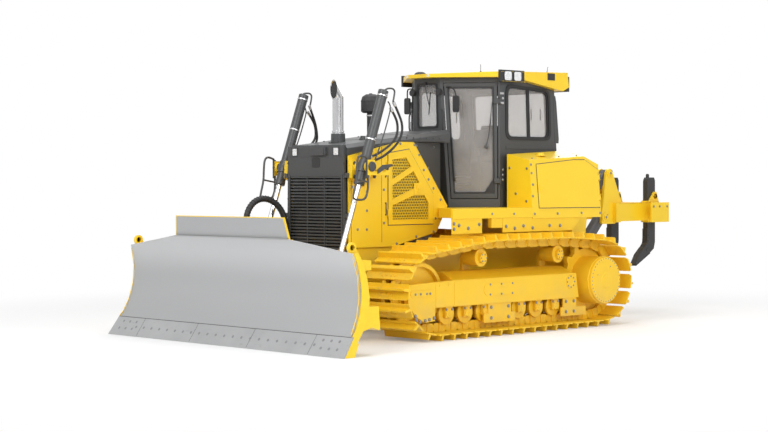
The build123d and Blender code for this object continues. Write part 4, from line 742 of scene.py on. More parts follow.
def track_shoe(forge, link, bolt):
    """A single-grouser shoe with cut corners, a bent leading lip and four bolts."""
    cut, half = 0.10, SHOE_HALF
    plan = [(0.035, 0.04 - half), (0.035 + cut, -half), (0.965 - cut / 2, -half), (0.965, 0.02 - half)]
    plan += [(share, -y) for share, y in reversed(plan)]
    forge.prism([link.at(share, y, LINK_HALF) for share, y in plan], link.out * (SHOE_FACE - LINK_HALF))
    lip = [(0.035, SHOE_FACE - 0.001), (0.035, SHOE_FACE + 0.006), (0.10, SHOE_FACE - 0.001)]
    forge.prism([link.at(share, 0.05 - half, out) for share, out in lip], (0, 2 * half - 0.10, 0))
    pitch = link.run.length
    root, tip = 0.019 / pitch, 0.011 / pitch
    ends = []
    for y_root, y_tip in ((-half + 0.004, -half + 0.022), (half - 0.004, half - 0.022)):
        ends.append([link.at(0.62 - root, y_root, SHOE_FACE - 0.001), link.at(0.62 - tip, y_tip, GROUSER_TOP),
                link.at(0.62 + tip, y_tip, GROUSER_TOP), link.at(0.62 + root, y_root,
                SHOE_FACE - 0.001)])
    forge.faces(ends[0] + ends[1], ((0, 1, 2, 3), (7, 6, 5, 4), (0, 4, 5, 1), (1, 5, 6, 2), (2, 6, 7, 3),
            (3, 7, 4, 0)))
    for y in (-RAIL_OFFSET - 0.034, -RAIL_OFFSET + 0.034, RAIL_OFFSET - 0.034, RAIL_OFFSET + 0.034):
        forge.bolt(link.at(0.30, y, SHOE_FACE - 0.001), link.out, bolt * 1.25)


def track_link(forge, link):
    """The pair of forged side links of one pitch, offset at their ends, with the pin and its bosses."""
    outline = ((0.02, -0.030), (0.12, -0.047), (0.20, -LINK_HALF), (0.80, -LINK_HALF), (0.88, -0.047),
            (0.98, -0.030), (0.98, 0.030), (0.90, LINK_HALF), (0.10, LINK_HALF), (0.02, 0.030))
    for rail, out in ((-RAIL_OFFSET, -1), (RAIL_OFFSET, 1)):
        for shares, shift in (((0.0, 0.55), 0.005), ((0.45, 1.0), -0.005)):
            part = [(min(max(share, shares[0]), shares[1]), height) for share, height in outline]
            points = []
            for point in part:
                if point not in points:
                    points.append(point)
            y = rail + out * shift
            forge.prism([link.at(share, y - 0.018, height) for share, height in points], (0, 0.036, 0))
        pin = link.at(0.0, rail, 0.0)
        forge.turned(pin - Vector((0, 0.027, 0)), (0, 1, 0), ((0, 0.036), (0.004, 0.040), (0.050, 0.040),
                (0.054, 0.036)), 14)
        end = pin + Vector((0, out * 0.027, 0))
        forge.turned(end, (0, out, 0), ((0, 0.023), (0.005, 0.022), (0.005, 0.010), (0.002, 0.0)), 12)
        for share in (0.20, 0.40):                  # the shoe bolts' nuts in the links' windows
            nut = link.at(share, rail + out * 0.0175, 0.022)
            forge.prism([nut + link.along * a + link.out * b
                    for a, b in ((-0.013, -0.013), (0.013, -0.013), (0.013, 0.018), (-0.013, 0.018))],
                    (0, out * 0.004, 0))


class BULLDOZER_OT_tracks(bpy.types.Operator):
    """Lays the track chains: shoes with grousers, links, pins and bolts"""

    bl_idname = "bulldozer.tracks"
    bl_label = "Tracks"

    def execute(self, context):
        sizes = context.scene.bulldozer_sizes
        pins = chain_pins(sizes.shoe_count)
        for sign, side in SIDES:
            shoes, links = Forge(), Forge()
            for start, end in zip(pins, pins[1:] + pins[:1]):
                link = Link(start, end, sign * TRACK_Y)
                track_shoe(shoes, link, sizes.bolt_head)
                track_link(links, link)
            shoes.finish("track_shoes_" + side, "chassis", "track", 0.003, replaces=["track_" + side])
            links.finish("track_links_" + side, "chassis", "track", 0.0)
        return {"FINISHED"}


def stadium(centre, half, radius, steps=10):
    """A slot's outline, (x, z): half its length between the ends of its straight sides."""
    points = []
    for way, start in ((1, -90), (-1, 90)):
        for i in range(steps + 1):
            t = math.radians(start + 180 * i / steps)
            points.append((centre[0] + way * half + radius * math.cos(t), centre[1] + radius * math.sin(t)))
    return points


YOKE_BOLTS = ((1.797, 0.301), (1.782, 0.256), (1.720, 0.232), (1.635, 0.240), (1.568, 0.248), (1.490, 0.262))
GUARD_POSTS = ((0.130, 0.537), (-1.100, -0.850))
FRAME_Y = 1.350


class BULLDOZER_OT_running_gear(bpy.types.Operator):
    """Adds the covers, hub plates, caps and bolts of the track frames and wheels"""

    bl_idname = "bulldozer.running_gear"
    bl_label = "Running gear"

    def execute(self, context):
        bolt = context.scene.bulldozer_sizes.bolt_head
        out = Vector((0, 1, 0))
        covers, caps, heads = Forge(), Forge(), Forge()
        covers.side_plate([(-0.803, 0.386), (1.152, 0.386), (1.152, 0.682), (-0.803, 0.682)],
                (FRAME_Y, FRAME_Y + 0.004))
        covers.side_plate([(1.166, 0.386), (1.462, 0.386), (1.462, 0.670), (1.166, 0.682)],
                (FRAME_Y, FRAME_Y + 0.004))
        covers.side_plate(stadium((0.335, 0.553), 0.235, 0.075), (FRAME_Y, FRAME_Y + 0.011))
        for x in (0.535, 0.336, 0.138):
            for z in (0.613, 0.493):
                heads.bolt((x, FRAME_Y + 0.011, z), out, bolt * 0.8)
        covers.side_plate(stadium((1.690, 0.553), 0.150, 0.038), (FRAME_Y, FRAME_Y + 0.008))
        for x in (1.800, 1.714, 1.614, 1.560):
            heads.bolt((x, FRAME_Y + 0.008, 0.551), out, bolt * 0.9)
        for x, z in YOKE_BOLTS:
            heads.bolt((x, FRAME_Y, z), out, bolt * 1.3)
        covers.turned((-0.965, FRAME_Y, 0.583), out,
                ((0, 0.088), (0.010, 0.086), (0.010, 0.050), (0.004, 0.046), (0.004, 0.0)))
        heads.ring_of_bolts((-0.965, FRAME_Y + 0.009, 0.583), out, 0.069, 8, bolt * 0.7)
        for x in (1.240, 1.390):                    # the track adjuster's cover
            covers.turned((x, FRAME_Y + 0.003, 0.640), out, ((0, 0.020), (0.006, 0.019), (0.006, 0.0)), 16)
        for low, high in GUARD_POSTS:
            for x in (low + 0.05, high - 0.05):
                for z in (0.206, 0.335):
                    heads.bolt((x, 1.330, z), out, bolt * 1.3)
        hub = Vector((SPROCKET.x, 0, SPROCKET.z))
        caps.turned(hub + out * 1.478, out, ((0, 0.296), (0.003, 0.294), (0.003, 0.255), (0.0, 0.250),
                (0.0, 0.0)), 56)
        heads.ring_of_bolts(hub + out * 1.480, out, 0.275, 36, bolt * 0.72)
        caps.turned(hub + out * 1.4858, out, ((0, 0.235), (0.003, 0.230), (0.004, 0.100), (0.010, 0.094),
                (0.010, 0.030), (0.0115, 0.026), (0.0115, 0.0)), 48)
        for turn in (0.4, 2.0):                     # oil plugs
            place = hub + Vector((math.cos(turn) * 0.19, 1.489, math.sin(turn) * 0.19))
            caps.turned(place, out, ((0, 0.021), (0.005, 0.020), (0.005, 0.0)), 16)
            heads.bolt(place + out * 0.004, out, 0.007, washer=False)
        for x in ROLLERS_X:
            place = Vector((x, 1.302, ROLLER_Z))
            caps.turned(place, out, ((0, 0.050), (0.007, 0.047), (0.007, 0.022), (0.012, 0.018),
                    (0.012, 0.0)), 20)
            for dx in (-0.047, 0.047):
                heads.bolt(place + Vector((dx, 0, 0.052)), out, bolt)
        for x in CARRIERS_X:
            place = Vector((x, 1.282, 0.932))
            caps.turned(place, out, ((0, 0.058), (0.006, 0.055), (0.006, 0.034), (0.010, 0.032),
                    (0.010, 0.0)), 24)
            heads.ring_of_bolts(place + out * 0.005, out, 0.045, 6, bolt * 0.6)
        for forge, name, finish in ((covers, "track_frame_covers", "gear"),
                (caps, "hub_and_roller_caps", "gear"), (heads, "track_frame_bolts", "bolt")):
            forge.mirror()
            forge.finish(name, "chassis", finish, 0.0012)
        return {"FINISHED"}


# ================================================================ blade
EDGE_NORMAL = Vector((0.8136, 0, 0.5814))
EDGE_RUN = (EDGE_HIGH.x - 3.491) / 0.216       # how far the cutting edge leans back for each metre up
EDGE_ROW = 0.108
EDGE_JOINTS = (-1.560, -0.520, 0.520, 1.560)
RIBS_Y = (-1.7, -1.15, -0.56, 0.56, 1.15, 1.7)
GUARD_FOOT, GUARD_TIP = 1.2163, 1.460


def edge_place(y, z):
    """A point on the cutting edge's front face."""
    return Vector((EDGE_HIGH.x - z * EDGE_RUN, y, z))


def plough_bolt(forge, y, z):
    """A flush bolt with a square neck's dimple."""
    forge.turned(edge_place(y, z), EDGE_NORMAL, ((-0.001, 0.0185), (0.0018, 0.0175), (0.0018, 0.010),
            (0.0002, 0.008), (0.0002, 0.0)), 16)


class BULLDOZER_OT_blade(bpy.types.Operator):
    """Adds the plough bolts, yellow guard edges, weld beads and pins of the blade"""

    bl_idname = "bulldozer.blade"
    bl_label = "Blade"

    def execute(self, context):
        bolt = context.scene.bulldozer_sizes.bolt_head
        bolts = Forge()
        count = 22
        for i in range(count):
            plough_bolt(bolts, -1.654 + (1.596 + 1.654) * i / (count - 1), EDGE_ROW)
        for sign in (-1, 1):
            for y in (1.72, 1.85, 1.98):
                plough_bolt(bolts, sign * y, 0.082)
                plough_bolt(bolts, sign * (y - 0.02), 0.162)
        bolts.finish("edge_bolts", "blade", "bolt", 0.0)
        seams = Forge()
        for y in EDGE_JOINTS:
            seams.prism([edge_place(y + dy, z) for dy, z in ((-0.002, 0.010), (0.002, 0.010), (0.002, 0.212),
                    (-0.002, 0.212))], EDGE_NORMAL * 0.0012)
        seams.prism([edge_place(y, z) for y, z in ((-2.105, 0.210), (2.105, 0.210), (2.105, 0.2145),
                (-2.105, 0.2145))], EDGE_NORMAL * 0.0012)
        seams.finish("edge_seams", "blade", "link", 0.0)

        trim = Forge()
        lean = (3.470 - 3.432) / (GUARD_TIP - GUARD_FOOT)
        front = [(y, z) for y, z in ((-1.031, GUARD_FOOT), (-0.981, GUARD_TIP + 0.0035),
                (0.981, GUARD_TIP + 0.0035), (1.031, GUARD_FOOT))]
        inner = [(y * 0.988, z - (0.010 if z > 1.3 else 0)) for y, z in front]
        for (a, b), (c, d) in zip(zip(front, front[1:]), zip(inner, inner[1:])):
            loop = [(3.4325 + (z - GUARD_FOOT) * lean, y, z) for y, z in (a, b, d, c)]
            trim.prism(loop, (-0.021, 0, 0))
        for sign in (-1, 1):                        # the seam where the end plates meet the mouldboard
            for low, high in ((0.24, 0.42), (0.42, 0.62), (0.62, 0.84), (0.84, 1.05)):
                trim.rod((self.skin_x(low) + 0.004, sign * (self.half(low) - 0.028), low),
                        (self.skin_x(high) + 0.004, sign * (self.half(high) - 0.028), high), 0.005, 8)
        for y in RIBS_Y:                            # weld beads down the ribs behind
            for off in (-0.017, 0.017):
                trim.rod((3.067, y + off, 0.53), (3.067, y + off, 0.895), 0.004, 6)
        for sign in (-1, 1):
            trim.turned((3.330, sign * 1.930 - 0.019, 1.150), (0, 1, 0), ((0, 0.055), (0.003, 0.058),
                    (0.035, 0.058), (0.038, 0.055), (0.038, 0.034), (0.0, 0.034)), 28)
        trim.finish("blade_trim", "blade", "yellow", 0.0012)

        pins = Forge()
        pins.turned((3.034, 0.480, 0.840), (-1, 0, 0), ((0, 0.034), (0.012, 0.032), (0.012, 0.0)), 20)
        for y in (-0.15, 0.15):
            for z in (0.33, 0.53):
                pins.bolt((2.995, y, z), (-1, 0, 0), bolt * 1.4)
        pins.finish("blade_pins", "blade", "yellow", 0.001)
        return {"FINISHED"}

    @staticmethod
    def half(z):
        return 2.135 - 0.105 * z / 1.090

    @staticmethod
    def skin_x(z):
        """The mouldboard's front face, a circle's arc through its top, middle and foot."""
        centre, radius = circle_through((3.491, 0.216), (3.328, 0.620), (3.470, 1.230))
        return centre[0] - math.sqrt(radius ** 2 - (z - centre[1]) ** 2)


def circle_through(a, b, c):
    """Centre and radius of the circle through three points."""
    d = 2 * (a[0] * (b[1] - c[1]) + b[0] * (c[1] - a[1]) + c[0] * (a[1] - b[1]))
    sa, sb, sc = (p[0] ** 2 + p[1] ** 2 for p in (a, b, c))
    x = (sa * (b[1] - c[1]) + sb * (c[1] - a[1]) + sc * (a[1] - b[1])) / d
    z = (sa * (c[0] - b[0]) + sb * (a[0] - c[0]) + sc * (b[0] - a[0])) / d
    return (x, z), math.hypot(a[0] - x, a[1] - z)


# ================================================================ rams
def on_ram(distance, y=TRUNNION.y, ahead=0.0):
    """A point along a lift cylinder from its trunnion, with an offset square to it in side view."""
    across = Vector((-RAM_AXIS.z, 0, RAM_AXIS.x))
    point = TRUNNION + RAM_AXIS * distance + across * ahead
    return Vector((point.x, y, point.z))


def gland(forge, place, axis, radius):
    """The screwed head at a cylinder's rod end."""
    forge.turned(place, axis, ((0, radius * 0.99), (0.004, radius * 1.07), (0.046, radius * 1.07),
            (0.050, radius * 0.98)), 28)


def band(forge, place, axis, radius, ear):
    """A clamp round a cylinder, with the ear that its bolt pulls together."""
    forge.turned(Vector(place) - Vector(axis) * 0.009, axis, ((0, radius + 0.001), (0.002, radius + 0.005),
            (0.016, radius + 0.005), (0.018, radius + 0.001)), 28)
    ear = Vector(ear).normalized()
    forge.rod(Vector(place) + ear * (radius - 0.002), Vector(place) + ear * (radius + 0.030), 0.009, 10)


HOSE_ROUTES = {
    1: (((1.598, 2.720), (1.510, 2.613), (1.480, 2.504), (1.498, 2.394), (1.588, 2.302), (1.714, 2.228),
        (1.839, 2.169), (1.960, 2.135)),
        ((1.547, 2.790), (1.459, 2.651), (1.408, 2.542), (1.409, 2.432), (1.473, 2.321), (1.588, 2.229),
        (1.714, 2.155), (1.840, 2.109), (1.975, 2.080))),
    -1: (((1.598, 2.720), (1.500, 2.613), (1.465, 2.504), (1.470, 2.394), (1.560, 2.302), (1.690, 2.228),
        (1.839, 2.169), (1.960, 2.135)),
        ((1.570, 2.798), (1.482, 2.618), (1.447, 2.483), (1.440, 2.368), (1.520, 2.271), (1.640, 2.190),
        (1.800, 2.120), (1.975, 2.080)))}


class BULLDOZER_OT_rams(bpy.types.Operator):
    """Adds the glands, clamps, pipes and hoses of the cylinders"""

    bl_idname = "bulldozer.rams"
    bl_label = "Cylinders"

    def execute(self, context):
        bolt = context.scene.bulldozer_sizes.bolt_head
        for sign, side in SIDES:
            self.lift_ram(sign, side)
            self.angle_ram(sign, side)
            heads = Forge()
            eye = Vector((LIFT_EYE.x, sign * 0.779, LIFT_EYE.z))
            heads.turned(eye, (0, sign, 0), ((0, 0.052), (0.004, 0.055), (0.012, 0.055), (0.016, 0.050),
                    (0.016, 0.0)), 24)
            heads.bolt(eye + Vector((0.0, sign * 0.015, 0.0)), (0, sign, 0), bolt * 1.2)
            heads.turned((1.695, sign * 0.600, 0.644), (0, 0, 1),
                    ((0, 0.036), (0.010, 0.034), (0.010, 0.0)), 20)
            heads.finish("lift_eye_pin_" + side, "push_frame", "yellow", 0.001)
        tilt, way = Forge(), Vector((0, 0.780, 0.100)).normalized()
        gland(tilt, Vector((3.000, -0.300, 0.740)) + way * 0.515, way, 0.044)
        for distance in (0.07, 0.49):
            place = Vector((3.000, -0.300, 0.740)) + way * distance + Vector((-0.040, 0, 0.018))
            tilt.rod(place, place + Vector((-0.026, 0, 0.014)), 0.014, 12)
        tilt.finish("tilt_gland", "tilt_tube", "charcoal", 0.001)
        rip = Forge()
        root, eye = Vector((-1.990, 0.400, 0.800)), Vector((-2.627, 0.400, 1.958))
        way = (eye - root).normalized()
        gland(rip, root + way * 0.692, way, 0.060)
        for distance in (0.12, 0.66):
            rip.rod(root + way * distance + Vector((0.030, 0, 0.030)),
                    root + way * distance + Vector((0.062, 0, 0.050)), 0.015, 12)
        rip.mirror()
        rip.finish("ripper_glands", "ripper_tubes", "charcoal", 0.001)
        return {"FINISHED"}

    def lift_ram(self, sign, side):
        body = "lift_tube_" + side
        y = sign * TRUNNION.y
        metal = Forge()
        top = on_ram(-0.955, y)
        metal.turned(top - RAM_AXIS * 0.004, RAM_AXIS,
                ((0, 0.052), (0.004, 0.061), (0.040, 0.0615), (0.044, 0.0600)), 32)
        metal.ring_of_bolts(top - RAM_AXIS * 0.003, -RAM_AXIS, 0.040, 6, 0.007)
        gland(metal, on_ram(0.174, y), RAM_AXIS, 0.060)
        metal.turned(on_ram(-0.075, y), RAM_AXIS,
                ((0, 0.060), (0.006, 0.070), (0.144, 0.070), (0.150, 0.060)), 32)
        outer = y + sign * 0.030
        loop = [(1.700, 2.905), (1.690, 2.948), (1.585, 2.962), (1.529, 2.940), (1.540, 2.868),
                (1.560, 2.800)]
        metal.pipe(smooth_line([(x, outer, z) for x, z in loop]), 0.011, 10)
        thin = [(1.655, 2.800), (1.598, 2.757), (1.650, 2.600), (1.738, 2.372), (1.880, 2.080),
                (1.985, 1.930)]
        metal.pipe(smooth_line([(x, outer + sign * 0.012, z) for x, z in thin]), 0.008, 8)
        metal.rod((1.700, y, 2.900), (1.702, outer, 2.905), 0.014, 12)
        metal.finish("lift_pipes_" + side, body, "charcoal", 0.001)
        clamps = Forge()
        for distance in ((-0.888, -0.336) if sign > 0 else (-0.894, -0.491)):
            band(clamps, on_ram(distance, y), RAM_AXIS, 0.060, (0, sign, 0.2))
        for points in HOSE_ROUTES[sign]:
            for near, far in (points[:2], points[:-3:-1]):
                a, b = (Vector((p[0], outer, p[1])) for p in (near, far))
                clamps.rod(a + (a - b).normalized() * 0.012, a + (b - a).normalized() * 0.045, 0.019, 14)
        clamps.finish("lift_clamps_" + side, body, "zinc", 0.0006)
        hoses = Forge()
        for points in HOSE_ROUTES[sign]:
            hoses.pipe(smooth_line([(x, outer, z) for x, z in points]), 0.0145, 14)
        hoses.finish("lift_hoses_" + side, body, "rubber", 0.0)

    def angle_ram(self, sign, side):
        anchor, eye = Vector((1.695, sign * 0.600, 0.600)), Vector((2.945, sign * 0.750, 0.600))
        way = (eye - anchor).normalized()
        ends = Forge()
        ends.turned(anchor + way * 0.806, way,
                ((0, 0.0405), (0.003, 0.0425), (0.040, 0.0425), (0.044, 0.038)), 24)
        for distance in (0.10, 0.76):
            place = anchor + way * distance
            ends.rod(place + Vector((0, 0, 0.034)), place + Vector((0, -sign * 0.006, 0.056)), 0.014, 12)
        pipe = [anchor + way * d + Vector((0, -sign * o, z)) for d, o, z in
                ((0.10, 0.008, 0.052), (0.14, 0.012, 0.058), (0.40, 0.012, 0.056), (0.72, 0.012, 0.058),
                (0.76, 0.008, 0.052))]
        ends.pipe(smooth_line(pipe), 0.007, 8)
        ends.finish("angle_gland_" + side, "angle_tube_" + side, "charcoal", 0.0008)


# ================================================================ hull
SHIELD_Y = 0.550
SEAM = 0.003
SHIELD_BOLTS = ((1.961, 1.739), (1.807, 1.738), (1.808, 1.510), (1.809, 1.287), (1.958, 1.291),
        (2.047, 1.793),
        (1.527, 1.758), (1.528, 1.359), (1.319, 1.105), (0.985, 1.185), (0.684, 1.235), (0.650, 1.400),
        (0.852, 1.995), (0.769, 1.880), (0.684, 1.770), (0.560, 1.630), (1.009, 2.300), (1.250, 2.312),
        (0.930, 2.180))
DOOR_LINE = ((1.464, 1.330), (1.464, 2.200), (1.105, 2.250), (0.690, 1.700), (0.690, 1.330))
DOOR_PANES = (((1.401, 1.880), (1.401, 2.120), (1.165, 2.150), (1.075, 2.035)),
        ((1.401, 1.640), (1.401, 1.810), (1.040, 1.985), (0.915, 1.810)),
        ((1.401, 1.395), (1.401, 1.570), (0.890, 1.740), (0.780, 1.590), (0.780, 1.395)))


def clip_line(outline, point, way):
    """The stretch of a line that lies inside a convex outline, both in two dimensions."""
    low, high = -10.0, 10.0
    count = len(outline)
    area = sum(a[0] * b[1] - b[0] * a[1] for a, b in zip(outline, outline[1:] + outline[:1]))
    turn = 1 if area > 0 else -1
    for i in range(count):
        a, b = outline[i], outline[(i + 1) % count]
        normal = (-(b[1] - a[1]) * turn, (b[0] - a[0]) * turn)
        gap = (point[0] - a[0]) * normal[0] + (point[1] - a[1]) * normal[1]
        rate = way[0] * normal[0] + way[1] * normal[1]
        if abs(rate) < 1e-9:
            if gap < 0:
                return None
        elif rate > 0:
            low = max(low, -gap / rate)
        else:
            high = min(high, -gap / rate)
    return (low, high) if high - low > 0.004 else None


def expanded_mesh(forge, outline, y, sign, pitch):
    """Expanded metal: two families of slanted strands over a pane."""
    xs, zs = [p[0] for p in outline], [p[1] for p in outline]
    centre = ((min(xs) + max(xs)) / 2, (min(zs) + max(zs)) / 2)
    reach = math.hypot(max(xs) - min(xs), max(zs) - min(zs)) / 2
    for slant in (67, 113):
        way = (math.cos(math.radians(slant)), math.sin(math.radians(slant)))
        across = (-way[1], way[0])
        count = int(reach / pitch) + 1
        for i in range(-count, count + 1):
            point = (centre[0] + across[0] * pitch * i, centre[1] + across[1] * pitch * i)
            inside = clip_line(list(outline), point, way)
            if not inside:
                continue
            a = Vector((point[0] + way[0] * inside[0], y, point[1] + way[1] * inside[0]))
            b = Vector((point[0] + way[0] * inside[1], y, point[1] + way[1] * inside[1]))
            side = Vector((across[0], 0, across[1])) * 0.0042
            forge.prism([a - side, b - side, b + side, a + side], (0, sign * 0.0022, 0))


def seam(forge, outline, place, depth, half=0.0035):
    """A flat strip along a closed outline in two dimensions, laid where place puts it, pushed along depth."""
    for a, b in zip(outline, outline[1:] + outline[:1]):
        a, b = Vector(a), Vector(b)
        along = (b - a).normalized() * half
        across = Vector((-along.y, along.x))
        corners = (a - along - across, b + along - across, b + along + across, a - along + across)
        forge.prism([place(*p) for p in corners], depth)


class BULLDOZER_OT_hull(bpy.types.Operator):
    """Adds the bolts, seams, latches, door mesh and brackets of the engine bay"""

    bl_idname = "bulldozer.hull"
    bl_label = "Engine bay"

    def execute(self, context):
        sizes = context.scene.bulldozer_sizes
        bolt = sizes.bolt_head
        plates, dark, heads = Forge(), Forge(), Forge()
        out = Vector((0, 1, 0))
        for x, z in SHIELD_BOLTS:
            heads.bolt((x, SHIELD_Y, z), out, bolt)
        for x, low, high in ((1.565, 1.130, 2.270), (2.060, 1.100, 1.890)):
            dark.box((x - SEAM, SHIELD_Y - 0.001, low), (x + SEAM, SHIELD_Y + 0.0010, high))
        seam(dark, DOOR_LINE, lambda x, z: Vector((x, SHIELD_Y - 0.0005, z)), (0, 0.0020, 0))
        plates.side_plate([(1.632, 1.453), (1.743, 1.453), (1.743, 1.563), (1.632, 1.563)],
                (SHIELD_Y, SHIELD_Y + 0.003))
        plates.side_plate([(0.46, 1.552), (1.022, 2.330), (1.040, 2.330), (0.48, 1.552)],
                (SHIELD_Y, SHIELD_Y + 0.004))
        plates.rod((1.350, SHIELD_Y - 0.012, 1.090), (0.640, SHIELD_Y - 0.012, 1.236), 0.014, 12)
        plates.mirror()
        plates.finish("shield_plates", "chassis", "yellow", 0.001)
        for x, z in ((0.75, 1.70), (0.66, 2.02), (0.52, 2.28), (0.95, 2.29)):
            y = 0.340 + (x - 0.350) * 0.3104
            heads.bolt((x, y, z), (-0.2965, 0.955, 0), bolt)
        heads.mirror()
        heads.finish("shield_bolts", "chassis", "bolt", 0.001)
        dark.mirror()
        dark.finish("shield_seams", "chassis", "link", 0.0)
        for sign, side in SIDES:
            self.door(sign, side, sizes)
        self.brackets(bolt)
        self.ladder_side(bolt)
        return {"FINISHED"}

    def door(self, sign, side, sizes):
        """The hinged door's mesh, latch, pad and hinge pins."""
        body = "engine_door_" + side
        y = sign * (SHIELD_Y + 0.012)
        wires = Forge()
        for pane in DOOR_PANES:
            expanded_mesh(wires, pane, sign * (SHIELD_Y - 0.003), sign, sizes.mesh_pitch)
        wires.finish("door_wires_" + side, body, "yellow", 0.0)
        parts = Forge()
        out = (0, sign, 0)
        parts.side_plate([(0.850, 1.690), (1.035, 1.690), (1.035, 1.840), (0.850, 1.840)],
                sorted((y, y + sign * 0.004)))
        parts.side_plate([(0.905, 1.722), (0.990, 1.722), (0.990, 1.812), (0.905, 1.812)],
                sorted((y + sign * 0.003, y + sign * 0.010)))
        parts.side_plate([(0.925, 1.752), (0.970, 1.752), (0.970, 1.782), (0.925, 1.782)],
                sorted((y + sign * 0.008, y + sign * 0.016)))
        for pane in DOOR_PANES:                     # a raised rim round each pane
            for a, b in zip(pane, pane[1:] + pane[:1]):
                parts.rod((a[0], y, a[1]), (b[0], y, b[1]), 0.004, 8)
        parts.finish("door_latch_" + side, body, "yellow", 0.001)
        bars = Forge()
        for low, high in ((1.914, 2.012), (1.459, 1.597)):
            bars.rod((1.497, sign * 0.5575, low), (1.497, sign * 0.5575, high), 0.006, 10)
            for z in (low, high):
                bars.bolt((1.497, sign * 0.5505, z), out, 0.009)
        bars.finish("door_straps_" + side, "chassis", "charcoal", 0.0006)

    def brackets(self, bolt):
        """Bolts and braces of the plates that carry the lift cylinders."""
        heads, guards = Forge(), Forge()
        out = Vector((0, 1, 0))
        for x, z in ((2.060, 2.070), (2.060, 1.915), (1.935, 2.080), (1.880, 1.915), (1.780, 2.085),
                (1.740, 1.915)):
            heads.bolt((x, 0.610, z), out, bolt * 1.4)
        heads.turned((2.013, 0.855, 2.030), out, ((0, 0.056), (0.005, 0.060), (0.014, 0.058), (0.018, 0.050),
                (0.018, 0.0)), 28)
        heads.ring_of_bolts((2.013, 0.870, 2.030), out, 0.040, 4, bolt * 0.8)
        heads.mirror()
        heads.finish("bracket_bolts", "chassis", "charcoal", 0.001)
        loop = [(2.072, 2.130), (2.150, 2.165), (2.222, 2.140), (2.236, 2.000), (2.240, 1.866),
                (2.290, 1.700),
                (2.290, 1.655), (2.220, 1.645), (2.130, 1.645), (2.085, 1.680), (2.052, 1.790), (2.060,
                1.900)]
        guards.pipe(smooth_line([(x, 0.838, z) for x, z in loop]), 0.013, 12)
        guards.rod((2.238, 0.838, 1.880), (2.056, 0.838, 1.850), 0.011, 10)
        guards.box((2.050, 0.826, 1.900), (2.085, 0.850, 2.125))
        wing = [(1.925, 2.000), (1.847, 2.050), (1.697, 2.062), (1.690, 2.035), (1.822, 1.996),
                (1.925, 1.945)]
        guards.side_plate(wing, (0.856, 0.868))
        guards.rod((1.750, 0.862, 2.040), (1.750, 0.842, 1.985), 0.012, 10)
        guards.mirror()
        guards.finish("cylinder_guards", "chassis", "charcoal", 0.001)

    def ladder_side(self, bolt):
        """Gusset, bolts and bracket heads along the step rail."""
        heads = Forge()
        out = Vector((0, 1, 0))
        for x, z in ((0.435, 1.461), (0.040, 1.455)):
            heads.bolt((x, 1.300, z), out, bolt * 0.9)
        for x, z in ((1.085, 1.352), (1.085, 1.289), (1.000, 1.332), (0.840, 1.294), (0.649, 1.338),
                (0.169, 1.305), (0.012, 1.276), (-0.147, 1.304), (-0.319, 1.276), (-0.638, 1.299),
                (-0.838, 1.295)):
            heads.turned((x, 1.285, z), out, ((0, 0.023), (0.004, 0.022), (0.004, 0.0)), 16)
            heads.bolt((x, 1.288, z), out, bolt * 1.2)
        heads.mirror()
        heads.finish("rail_bolts", "chassis", "bolt", 0.001)


# ================================================================ front
HEAD_X = HEAD_HIGH.x
GRILLE_LOW, GRILLE_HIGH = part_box("grille")
GRILLE_SLATS = 24
STACK_X, STACK_BEND_Z, STACK_MOUTH_X = 1.765, 2.869, 1.825
CLEANER_X = 1.220
STACK_LEAN = math.radians(34)                       # how far its last part leans forwards


def hood_z(x):
    """Height of the hood's top."""
    return 2.293 + (2.115 - x) * 0.11405


